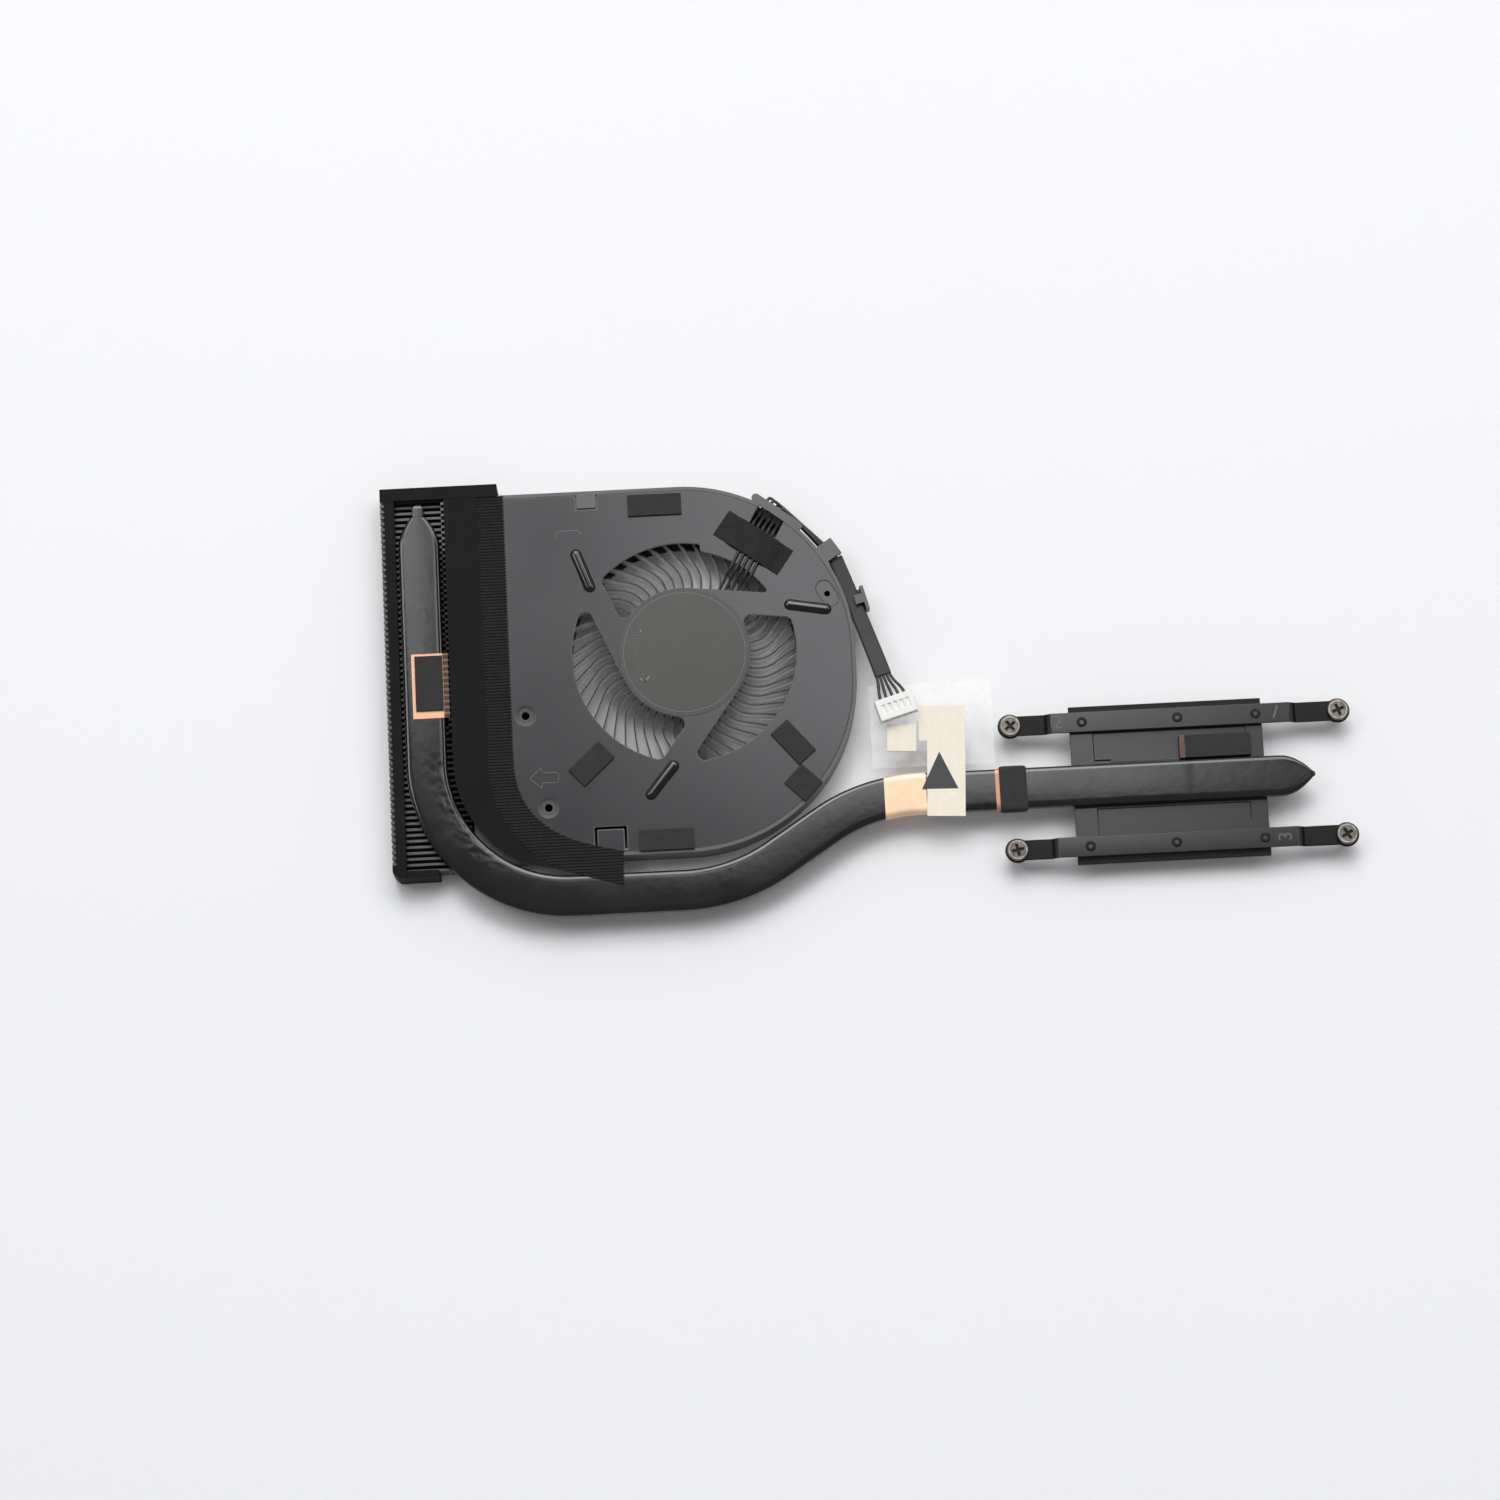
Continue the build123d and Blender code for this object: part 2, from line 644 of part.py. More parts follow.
def fin_strip_front():
    left = FIN_LEFT
    right = left + STRIP_FRONT_LENGTH
    back = FIN_FRONT
    front = back - STRIP_THICKNESS
    wall = block(left, right, front, back, FAN_BASE, PIPE_TOP)
    flap = block(left, CHANNEL_LEFT, front, back + STRIP_FLAP, PIPE_TOP, PIPE_TOP + STRIP_LIFT)
    strip = wall + flap
    return HUB * (strip - corner_wedge(left, front, STRIP_CHAMFER))


def corner_wedge(x, y, size):
    wedge = Polyline((x, y), (x + size, y), (x, y + size), close=True)
    return slab(make_face(wedge), FAN_BASE - CUT, PIPE_TOP + CUT)


def outlet_strip():
    left = FIN_LEFT + OUTLET_STRIP_INSET
    front = FIN_FRONT + STRIP_FLAP
    back = FIN_BACK - STRIP_FLAP
    return HUB * block(left, left + OUTLET_STRIP_WIDTH, front, back, PIPE_TOP, PIPE_TOP + TAPE_THICKNESS)


def from_bend(point):
    return (BEND_X + point[0], BEND_Y + point[1])


def band_edge():
    reach = BEND_X - BAND_LEFT
    middle = from_bend(polar(reach, BAND_MIDDLE_ANGLE))
    tail = from_bend(polar(reach, BAND_TAIL_ANGLE))
    return [(BAND_LEFT, BEND_Y), middle, tail]


def tape_seam():
    return Spline((BAND_SEAM, BEND_Y), from_bend(SEAM_TAIL), tangents=((0, -1), seam_tail_way()))


def seam_tail_way():
    return (-SEAM_TAIL_DIRECTION[0], -SEAM_TAIL_DIRECTION[1])


def tape_back():
    return FIN_BACK - STRIP_FLAP


def seal_band():
    corner, middle, tail = band_edge()
    back = tape_back()
    outline = [
        Line((BAND_LEFT, back), corner),
        ThreePointArc(corner, middle, tail),
        Line(tail, from_bend(SEAM_TAIL)),
        tape_seam(),
        Line((BAND_SEAM, BEND_Y), (BAND_SEAM, back)),
        Line((BAND_SEAM, back), (BAND_LEFT, back)),
    ]
    face = make_face(outline)
    return HUB * slab(face, PIPE_TOP, PIPE_TOP + TAPE_THICKNESS)


def cloth_tape():
    tail = band_edge()[-1]
    back = tape_back()
    end = from_bend(CLOTH_TAIL_END)
    top = from_bend(CLOTH_TAIL_TOP)
    outline = [
        Line((BAND_SEAM, back), (BAND_SEAM, BEND_Y)),
        tape_seam(),
        Line(from_bend(SEAM_TAIL), tail),
        Line(tail, end),
        Line(end, top),
        Spline(top, (CLOTH_RIGHT, BEND_Y), tangents=(CLOTH_TAIL_DIRECTION, (0, 1))),
        Line((CLOTH_RIGHT, BEND_Y), (CLOTH_RIGHT, back)),
        Line((CLOTH_RIGHT, back), (BAND_SEAM, back)),
    ]
    face = make_face(outline)
    return HUB * slab(face, PIPE_TOP, PIPE_TOP + TAPE_THICKNESS)


# Fan housing


def fan_outline(inset, left=-OUTLET):
    radius = FAN_RADIUS - inset
    scroll = SCROLL_RADIUS - inset
    front = -RIGHT_FLAT - scroll
    quarter = polar(radius, 45)
    scroll_mid = (SCROLL_X + scroll * cos(radians(45)), -RIGHT_FLAT - scroll * sin(radians(45)))
    outline = [
        Line((left, radius), (0, radius)),
        ThreePointArc((0, radius), quarter, (radius, 0)),
        Line((radius, 0), (radius, -RIGHT_FLAT)),
        ThreePointArc((radius, -RIGHT_FLAT), scroll_mid, (SCROLL_X, front)),
        Line((SCROLL_X, front), (left, front)),
        Line((left, front), (left, radius)),
    ]
    return make_face(outline)


def under_pipe(inset):
    reach = LEG_BEND_RADIUS - PIPE_HALF - PIPE_FAN_GAP - inset
    corner = Pos(BEND_X - reach, BEND_Y - reach) * Rectangle(2 * reach, 2 * reach)
    return corner - Pos(BEND_X, BEND_Y) * Circle(reach)


def upper_outline(inset, left=-OUTLET):
    return fan_outline(inset, left) - under_pipe(inset)


def frame_walls():
    beyond = -OUTLET - CUT
    roof_z = ROOF_TOP - ROOF_THICKNESS
    low = slab(fan_outline(0), COVER_TOP, ROOF_TOP)
    low -= slab(fan_outline(WALL, beyond), COVER_TOP - CUT, ROOF_TOP + CUT)
    high = slab(upper_outline(0), roof_z, RIM_TOP)
    high -= slab(upper_outline(WALL, beyond), roof_z - CUT, RIM_TOP + CUT)
    roof = slab(fan_outline(0), roof_z, ROOF_TOP)
    roof -= slab(upper_outline(WALL), roof_z - CUT, ROOF_TOP + CUT)
    return low + high + roof


def tongue():
    nose = polar(TONGUE_RADIUS + TONGUE_NOSE, TONGUE_ANGLE)
    wall = FAN_RADIUS - WALL / 2
    start = (0, TONGUE_RADIUS)
    tip = polar(TONGUE_RADIUS, TONGUE_ANGLE)
    middle = polar(TONGUE_RADIUS, (90 + TONGUE_ANGLE) / 2)
    outline = [
        ThreePointArc(start[:2], middle[:2], tip[:2]),
        Line(tip[:2], (nose[0] - TONGUE_NOSE, nose[1])),
        Line((nose[0] - TONGUE_NOSE, nose[1]), (-TONGUE_REACH, wall)),
        Line((-TONGUE_REACH, wall), (0, wall)),
        Line((0, wall), start[:2]),
    ]
    return slab(make_face(outline), COVER_TOP, MOTOR_PLATE_Z)


def at_rim(angle, radius, part):
    return Rot(0, 0, angle) * Pos(radius, 0, 0) * part


def finger_hook():
    tip = Vector(polar(FAN_RADIUS + FINGER_TIP_OUT, FINGER_TIP_ANGLE))
    root = Vector(polar(FAN_RADIUS + FINGER_ROOT_OUT, FINGER_ROOT_ANGLE))
    reach = root - tip
    turn = degrees(atan2(reach.Y, reach.X))
    bar = Pos((tip + root) / 2) * Rot(0, 0, turn) * SlotCenterToCenter(reach.length, FINGER_WIDTH)
    return slab(bar, HOOK_Z, RIM_TOP)


def bridge_hook():
    half = BRIDGE_LENGTH / 2
    roof = block(-WALL / 2, BRIDGE_REACH, -half, half, HOOK_Z, RIM_TOP)
    post = block(BRIDGE_REACH - BRIDGE_POST, BRIDGE_REACH, -half, half, LEAD_Z, RIM_TOP)
    return at_rim(BRIDGE_ANGLE, FAN_RADIUS, roof + post)


def clip_hook():
    half = CLIP_LENGTH / 2
    lip_half = CLIP_LIP_LENGTH / 2
    shelf_top = LEAD_Z - SLEEVE_THICKNESS / 2 - SHELF_DROP
    shelf = block(-WALL / 2, CLIP_REACH, -half, half, shelf_top - SHELF_THICKNESS, shelf_top)
    post = block(CLIP_REACH - CLIP_POST, CLIP_REACH, -half, half, shelf_top - SHELF_THICKNESS, RIM_TOP)
    lip = block(CLIP_REACH - CLIP_POST - CLIP_LIP, CLIP_REACH, -lip_half, lip_half, HOOK_Z, RIM_TOP)
    return at_rim(CLIP_ANGLE, FAN_RADIUS, shelf + post + lip)


def lead_notch(z0, z1):
    half = (WIRES - 1) / 2 * WIRE_PITCH + WIRE_RADIUS + NOTCH_MARGIN
    start = LEAD_FALL_START - NOTCH_MARGIN
    notch = block(start, FAN_RADIUS + WALL, LEAD_SHIFT - half, LEAD_SHIFT + half, z0, z1)
    return Rot(0, 0, LEAD_ANGLE) * notch


def ear_place():
    return polar(FAN_RADIUS - EAR_INSET, EAR_BEARING)


def ear_shape(grow):
    slot = SlotOverall(EAR_LENGTH + 2 * grow, EAR_WIDTH + 2 * grow)
    return Pos(*ear_place()) * Rot(0, 0, EAR_ANGLE) * slot


def volute_frame():
    frame = frame_walls() + tongue()
    frame -= lead_notch(RIM_TOP - NOTCH_DEPTH, FAN_TOP + CUT)
    frame -= sleeve_body(SLEEVE_RECESS)
    frame = frame + finger_hook() + bridge_hook() + clip_hook()
    frame -= slab(upper_outline(MOTOR_PLATE_INSET - FIT_GAP, -OUTLET - CUT), MOTOR_PLATE_Z, FAN_TOP)
    lug_z = RIM_TOP - LUG_THICKNESS
    frame += slab(ear_shape(0) & fan_outline(0), lug_z, RIM_TOP)
    ear_x, ear_y, _ = ear_place()
    frame -= disc(ear_x, ear_y, lug_z - CUT, RIM_TOP + CUT, EAR_HOLE_RADIUS)
    latch_y = FAN_RADIUS - MOTOR_PLATE_INSET - WINDOW_WIDTH / 2
    grow = WINDOW_LATCH_GAP
    frame += block(
        WINDOW_X - WINDOW_LENGTH / 2 + grow,
        WINDOW_X + WINDOW_LENGTH / 2 - grow,
        latch_y - WINDOW_WIDTH / 2 + grow,
        FAN_RADIUS - WALL / 2,
        lug_z,
        RIM_TOP,
    )
    return HUB * frame


def inlet_openings():
    ring = Circle(INLET_RADIUS) - Circle(DISC_RADIUS)
    turn = 360 / SPOKES
    for spoke in range(SPOKES):
        strip = Pos(DISC_RADIUS - SPOKE_WIDTH / 2, -INLET_RADIUS) * Rectangle(SPOKE_WIDTH, 2 * INLET_RADIUS)
        ring -= Rot(0, 0, SPOKE_ANGLE + turn * spoke) * strip
    wedge = [polar(2 * INLET_RADIUS, angle)[:2] for angle in (SPOKE_ANGLE - turn / 2, STEP_END_ANGLE)]
    step = make_face(Polyline((0, 0), *wedge, close=True)) - Circle(STEP_RADIUS)
    openings = []
    for face in ring.faces():
        opening = (Sketch() + face.fillet_2d(INLET_CORNER, face.vertices()) - step).faces()[0]
        corners = [corner for corner in opening.vertices() if on_step(corner)]
        openings.append(fillet(corners, STEP_CORNER) if corners else opening)
    return openings


def on_step(corner):
    return abs(degrees(atan2(corner.Y, corner.X)) - STEP_END_ANGLE) < SAME_ANGLE


def rib_section(inset, z):
    return Pos(0, 0, z) * SlotOverall(RIB_LENGTH - 2 * inset, RIB_WIDTH - 2 * inset)


def pressed_rib():
    foot = rib_section(0, 0)
    shoulder = rib_section(RIB_SHOULDER, RIB_SHOULDER_HEIGHT)
    crown = rib_section(RIB_CROWN, RIB_HEIGHT)
    return loft([foot, shoulder], ruled=True) + loft([shoulder, crown], ruled=True)


def motor_plate():
    face = upper_outline(MOTOR_PLATE_INSET)
    plate = slab(face, MOTOR_PLATE_Z, FAN_TOP)
    for opening in inlet_openings():
        plate -= slab(opening, MOTOR_PLATE_Z - CUT, FAN_TOP + CUT)
    for turn in range(RIBS):
        angle = RIB_ANGLE + 360 / RIBS * turn
        x, y, _ = polar(RIB_RING, angle)
        plate += Pos(x, y, FAN_TOP) * Rot(0, 0, angle + RIB_SLANT) * pressed_rib()
    for x, y in VENT_HOLES:
        dish = Cone(VENT_DISH_FLOOR, VENT_DISH_RADIUS, VENT_DISH_DEPTH)
        plate -= Pos(x, y, FAN_TOP - VENT_DISH_DEPTH / 2) * dish
        plate -= disc(x, y, MOTOR_PLATE_Z - CUT, FAN_TOP + CUT, VENT_HOLE_RADIUS)
    plate -= slab(ear_shape(FIT_GAP), MOTOR_PLATE_Z - CUT, FAN_TOP + CUT)
    plate -= lead_notch(MOTOR_PLATE_Z - CUT, FAN_TOP + CUT)
    window_y = FAN_RADIUS - MOTOR_PLATE_INSET - WINDOW_WIDTH / 2
    window = Pos(WINDOW_X, window_y) * Rectangle(WINDOW_LENGTH, WINDOW_WIDTH + 2 * FIT_GAP)
    plate -= slab(window, MOTOR_PLATE_Z - CUT, FAN_TOP + CUT)
    latch_y = FAN_FRONT + MOTOR_PLATE_INSET + LATCH_WIDTH / 2 + LATCH_SLOT
    outer = Rectangle(LATCH_LENGTH, LATCH_WIDTH)
    tab = Pos(0, -LATCH_SLOT) * Rectangle(LATCH_LENGTH - 2 * LATCH_SLOT, LATCH_WIDTH)
    plate -= slab(Pos(LATCH_X, latch_y) * (outer - tab), MOTOR_PLATE_Z - CUT, FAN_TOP + CUT)
    return HUB * plate


def bottom_cover():
    cover = slab(fan_outline(0), FAN_BASE, COVER_TOP)
    return HUB * (cover - disc(0, 0, FAN_BASE - CUT, COVER_TOP + CUT, COVER_INLET_RADIUS))


# Impeller and motor


def blade_side(shift):
    points = [Vector(HUB_RADIUS - HUB_WALL / 2, shift)]
    for facet in range(BLADE_FACETS + 1):
        turn = polar(BLADE_BEND_RADIUS - shift, BLADE_LEAN * facet / BLADE_FACETS - 90)
        points.append(Vector(BLADE_BEND_START, BLADE_BEND_RADIUS) + Vector(turn))
    bend_end = points[-1]
    way = Vector(polar(1, BLADE_LEAN))
    inward = bend_end.dot(way)
    to_tip = sqrt(inward**2 + IMPELLER_RADIUS**2 - bend_end.length**2) - inward
    return points + [bend_end + way * to_tip]


def blade():
    lower = blade_side(-BLADE_THICKNESS / 2)
    upper = blade_side(BLADE_THICKNESS / 2)
    outline = make_face(Polyline(*lower, *reversed(upper), close=True))
    low = ROTOR_Z + HUB_FLOOR - ROTOR_GAP / 2
    return slab(outline, low, low + BLADE_HEIGHT)


def hub_cup():
    top = ROTOR_Z + HUB_FLOOR + MAGNET_HEIGHT
    cup = disc(0, 0, ROTOR_Z, top, HUB_RADIUS)
    cup -= disc(0, 0, ROTOR_Z + HUB_FLOOR, top + CUT, HUB_RADIUS - HUB_WALL)
    return cup - disc(0, 0, ROTOR_Z - CUT, top, SHAFT_RADIUS)


def impeller():
    one = blade()
    blades = [Rot(0, 0, 360 / BLADES * index) * one for index in range(BLADES)]
    return HUB * (hub_cup() + blades)


def yoke_radius():
    return HUB_RADIUS - HUB_WALL


def rotor_yoke():
    low = ROTOR_Z + HUB_FLOOR
    return HUB * tube(low, low + MAGNET_HEIGHT, yoke_radius(), yoke_radius() - YOKE_THICKNESS)


def magnet_ring():
    low = ROTOR_Z + HUB_FLOOR
    outer = yoke_radius() - YOKE_THICKNESS
    return HUB * tube(low, low + MAGNET_HEIGHT, outer, outer - MAGNET_THICKNESS)


def bearing_z():
    return ROTOR_Z + HUB_FLOOR + BEARING_END_GAP


def motor_shaft():
    return HUB * disc(0, 0, ROTOR_Z, MOTOR_PLATE_Z - SHAFT_END_GAP, SHAFT_RADIUS)


def bearing_sleeve():
    return HUB * tube(bearing_z(), MOTOR_PLATE_Z, BEARING_RADIUS, SHAFT_RADIUS + SHAFT_CLEARANCE)


def stator_radius():
    return yoke_radius() - YOKE_THICKNESS - MAGNET_THICKNESS - AIR_GAP


def stator_z():
    return bearing_z() + (MOTOR_PLATE_Z - BOARD_THICKNESS - bearing_z() - STATOR_HEIGHT) / 2


def pole_neck():
    flat = sqrt(stator_radius() ** 2 - (SHOE_WIDTH / 2) ** 2)
    return (STATOR_HUB_RADIUS, flat - STATOR_SHOE)


def stator_core():
    low = stator_z()
    top = low + STATOR_HEIGHT
    neck_end = pole_neck()[1]
    half = POLE_WIDTH / 2
    core = disc(0, 0, low, top, STATOR_HUB_RADIUS)
    for pole in range(POLES):
        neck = block(0, neck_end, -half, half, low, top)
        shoe = block(neck_end, neck_end + STATOR_SHOE, -SHOE_WIDTH / 2, SHOE_WIDTH / 2, low, top)
        core += Rot(0, 0, 360 / POLES * pole) * (neck + shoe)
    return HUB * (core - disc(0, 0, low - CUT, top + CUT, BEARING_RADIUS))


def stator_coils():
    inner, outer = pole_neck()
    low = stator_z()
    top = low + STATOR_HEIGHT
    half = POLE_WIDTH / 2 + COIL_GAP
    wall = COIL_WALL
    coil = block(inner + COIL_GAP, outer - COIL_GAP, -half - wall, half + wall, low - wall, top + wall)
    coil -= block(inner - CUT, outer + CUT, -half, half, low - COIL_GAP, top + COIL_GAP)
    turns = [Rot(0, 0, 360 / POLES * pole) * coil for pole in range(POLES)]
    return Compound(children=[HUB * solid for turn in turns for solid in turn.solids()])


def motor_board():
    return HUB * tube(MOTOR_PLATE_Z - BOARD_THICKNESS, MOTOR_PLATE_Z, BOARD_RADIUS, BEARING_RADIUS + FIT_GAP)


def hub_label():
    return HUB * disc(0, 0, FAN_TOP, FAN_TOP + LABEL_DISC_THICKNESS, LABEL_DISC_RADIUS)


def fan_pad(spec):
    x, y, length, width, angle = spec
    pad = Pos(x, y) * Rot(0, 0, angle) * Rectangle(length, width)
    return HUB * slab(pad, FAN_TOP, FAN_TOP + PAD_THICKNESS)


# Fan lead


def along_lead(t, p, z):
    turn = radians(LEAD_ANGLE)
    return Vector(t * cos(turn) - p * sin(turn), t * sin(turn) + p * cos(turn), z)


def round_wire(points, radii):
    path = FilletPolyline(*points, radius=radii)
    start = Plane(origin=path @ 0, z_dir=path % 0)
    return sweep(start * RegularPolygon(WIRE_RADIUS, WIRE_SIDES), path=path)


def wire_route(index):
    p = LEAD_SHIFT + (index - (WIRES - 1) / 2) * WIRE_PITCH
    start = sqrt((BOARD_RADIUS + FIT_GAP) ** 2 - p * p)
    column = LEAD_COLUMN * (index / 2 - (WIRES - 1) / 4)
    layer = LEAD_Z + LEAD_LAYER * (index % 2 - 0.5)
    run_t = LEAD_END[0] - LEAD_TURN
    run_p = LEAD_END[1] - LEAD_SHIFT
    run = hypot(run_t, run_p)
    aside_t = -run_p / run * column
    aside_p = run_t / run * column
    points = [
        along_lead(start, p, WIRE_LOW_Z),
        along_lead(LEAD_RISE_START, p, WIRE_LOW_Z),
        along_lead(LEAD_RISE_END, p, WIRE_TOP_Z),
        along_lead(LEAD_FALL_START, p, WIRE_TOP_Z),
        along_lead(LEAD_FALL_END, p, layer),
        along_lead(LEAD_TURN + column, p, layer),
        along_lead(LEAD_END[0] + aside_t, LEAD_END[1] + aside_p, layer),
    ]
    radii = [LEAD_RISE_RADIUS] * 2 + [LEAD_FALL_RADIUS] * 2 + [LEAD_TURN_RADIUS]
    return points, radii


def fan_wires():
    sleeve = sleeve_body(0)
    wires = []
    for index in range(WIRES):
        points, radii = wire_route(index)
        wires.append(round_wire(points, radii) - sleeve)
    return Compound(children=[HUB * solid for wire in wires for solid in wire.solids()])


def sleeve_path():
    start = along_lead(*LEAD_END, LEAD_Z)
    bend = Vector(*SLEEVE_BEND, LEAD_Z)
    end = Vector(*SLEEVE_END, LEAD_Z + SLEEVE_CLIMB)
    return FilletPolyline(start, bend, end, radius=SLEEVE_BEND_RADIUS)


def sleeve_body(grow):
    path = sleeve_path()
    section = pipe_section(section_plane(path, 0), SLEEVE_WIDTH + 2 * grow, SLEEVE_THICKNESS + 2 * grow)
    return sweep(section, path=path)


def lead_sleeve():
    return HUB * sleeve_body(0)


def connector_z():
    return FAN_TOP + FILM_THICKNESS + PAPER_THICKNESS


def connector_place():
    return Pos(CONNECTOR_X, CONNECTOR_Y, connector_z()) * Rot(0, 0, CONNECTOR_ANGLE)


def way_x(index):
    return (index - (WIRES - 1) / 2) * CONNECTOR_PITCH


def lead_tails():
    path = sleeve_path()
    side = section_plane(path, 1)
    place = connector_place()
    tails = []
    for index in range(WIRES):
        across = ((WIRES - 1) / 2 - index) * TAIL_SPREAD
        start = side.from_local_coords(Vector(-across, 0, 0))
        leave = side.from_local_coords(Vector(-across, 0, TAIL_STRAIGHT))
        way = place * Pos(way_x(index), CONNECTOR_DEPTH / 2, CONNECTOR_HEIGHT / 2)
        back = Vector(*way.position)
        enter = Vector(*(way * Pos(0, TAIL_STRAIGHT, 0)).position)
        tails.append(round_wire([start, leave, enter, back], [TAIL_RADIUS, TAIL_RADIUS]))
    return Compound(children=[HUB * solid for tail in tails for solid in tail.solids()])


def connector_housing():
    half_x = CONNECTOR_LENGTH / 2
    half_y = CONNECTOR_DEPTH / 2
    body = block(-half_x, half_x, -half_y, half_y, 0, CONNECTOR_HEIGHT)
    body = chamfer(body.edges().filter_by(Axis.Y), CONNECTOR_CHAMFER)
    mid = CONNECTOR_HEIGHT / 2
    cavity = CAVITY / 2
    window = LATCH_WINDOW / 2
    reach = LATCH_WINDOW_LENGTH / 2
    window_z = CONNECTOR_HEIGHT - LATCH_WINDOW_DEPTH
    for index in range(WIRES):
        x = way_x(index)
        body -= block(x - cavity, x + cavity, -half_y - CUT, half_y - WIRE_RADIUS, mid - cavity, mid + cavity)
        body -= block(x - window, x + window, -reach, reach, window_z, CONNECTOR_HEIGHT + CUT)
    return HUB * connector_place() * body


def connector_terminals():
    half = TERMINAL / 2
    back = CONNECTOR_DEPTH / 2 - WIRE_RADIUS
    mid = CONNECTOR_HEIGHT / 2
    pieces = []
    for index in range(WIRES):
        x = way_x(index)
        terminal = block(x - half, x + half, back - TERMINAL_LENGTH, back, mid - half, mid + half)
        pieces.append(HUB * connector_place() * terminal)
    return Compound(children=[solid for piece in pieces for solid in piece.solids()])


def wire_tape():
    bed = 0.0
    crown = 2 * WIRE_RADIUS + 2 * WIRE_LIFT
    half = PATCH_LENGTH / 2
    under = [
        (-half, bed),
        (-PATCH_FLAT - PATCH_SLOPE, bed),
        (-PATCH_FLAT, crown),
        (PATCH_FLAT, crown),
        (PATCH_FLAT + PATCH_SLOPE, bed),
        (half, bed),
    ]
    over = [(x, z + PATCH_THICKNESS) for x, z in reversed(under)]
    tape = prism_along_y(under + over, -PATCH_WIDTH / 2, PATCH_WIDTH)
    return HUB * Pos(*PATCH_CENTRE, FAN_TOP) * Rot(0, 0, PATCH_ANGLE) * tape


# Paper and film that hold the connector


def label_frame():
    return Pos(LABEL_X, LABEL_BACK, 0) * Rot(0, 0, LABEL_ANGLE)


def paper_label():
    low = PIPE_TOP + FILM_THICKNESS
    left = -LABEL_WIDTH / 2
    right = LABEL_WIDTH / 2
    body = block(left, right, -LABEL_LENGTH, 0, low, low + PAPER_THICKNESS)
    head = block(right - LABEL_HEAD_WIDTH, right, -LABEL_HEAD_LENGTH, 0, low, low + PAPER_THICKNESS)
    return label_frame() * (body + head)


def paper_tab():
    low = PIPE_TOP + FILM_THICKNESS
    tab = Pos(TAB_X, TAB_Y) * Rot(0, 0, LABEL_ANGLE) * Rectangle(TAB_LENGTH, TAB_WIDTH)
    return slab(tab, low, low + PAPER_THICKNESS)


def clear_film():
    low = PIPE_TOP
    sheet = block(FILM_LEFT, FILM_RIGHT, FILM_FRONT, FILM_BACK, low, low + FILM_THICKNESS)
    half = LABEL_WIDTH / 2
    tongue_piece = label_frame() * block(-half, half, -FILM_TONGUE, 0, low, low + FILM_THICKNESS)
    return sheet + tongue_piece


def build_all():
    parts = {
        "contact_plate": contact_plate(),
        "base_plate": base_plate(),
        "spring_arm_back": spring_arm(1),
        "spring_arm_front": spring_arm(-1),
        "plate_pad": plate_pad(),
        "plate_pad_edge": plate_pad_edge(),
        "heat_pipe": heat_pipe(),
        "pipe_foil_left": on_pipe(LEG_FOIL, PIPE_TOP, PIPE_TOP + FOIL_THICKNESS),
        "pipe_pad_left": on_pipe(LEG_PAD, PIPE_TOP + FOIL_THICKNESS, PIPE_TOP + LEG_PAD_HEIGHT),
        "pipe_foil_right": pipe_foil_right(),
        "pipe_wrap": pipe_wrap(),
        "pipe_wrap_foil": pipe_wrap_foil(),
        "fin_stack": fin_stack(),
        "fin_strip_back": fin_strip_back(),
        "fin_strip_front": fin_strip_front(),
        "outlet_strip": outlet_strip(),
        "seal_band": seal_band(),
        "cloth_tape": cloth_tape(),
        "volute_frame": volute_frame(),
        "motor_plate": motor_plate(),
        "bottom_cover": bottom_cover(),
        "impeller": impeller(),
        "rotor_yoke": rotor_yoke(),
        "magnet_ring": magnet_ring(),
        "motor_shaft": motor_shaft(),
        "bearing_sleeve": bearing_sleeve(),
        "stator_core": stator_core(),
        "stator_coils": stator_coils(),
        "motor_board": motor_board(),
        "hub_label": hub_label(),
        "wire_tape": wire_tape(),
        "fan_wires": fan_wires(),
        "lead_sleeve": lead_sleeve(),
        "lead_tails": lead_tails(),
        "connector_housing": connector_housing(),
        "connector_terminals": connector_terminals(),
        "paper_label": paper_label(),
        "paper_tab": paper_tab(),
        "clear_film": clear_film(),
    }
    for number, place in enumerate(screw_places(), 1):
        parts[f"captive_screw_{number}"] = captive_screw(*place)
        parts[f"retaining_ring_{number}"] = retaining_ring(*place)
    for number, spec in enumerate(FAN_PADS, 1):
        parts[f"fan_pad_{number}"] = fan_pad(spec)
    return parts


os.makedirs("parts", exist_ok=True)
for name, part in build_all().items():
    export_step(part, f"parts/{name}.step")
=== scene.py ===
# %% [markdown]
# # A laptop cooling module
# A flat blower fan, a stack of thin fins, a bent heat pipe and a sprung cold plate, lying on a white
# table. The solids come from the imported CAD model. This lesson gives them their finishes, softens
# their edges and adds what a solid modeller leaves plain: blades, foam, tape, foil and wires.

# %% Load the frame
import json
import math

import bmesh
import bpy
from mathutils import Matrix, Vector, noise

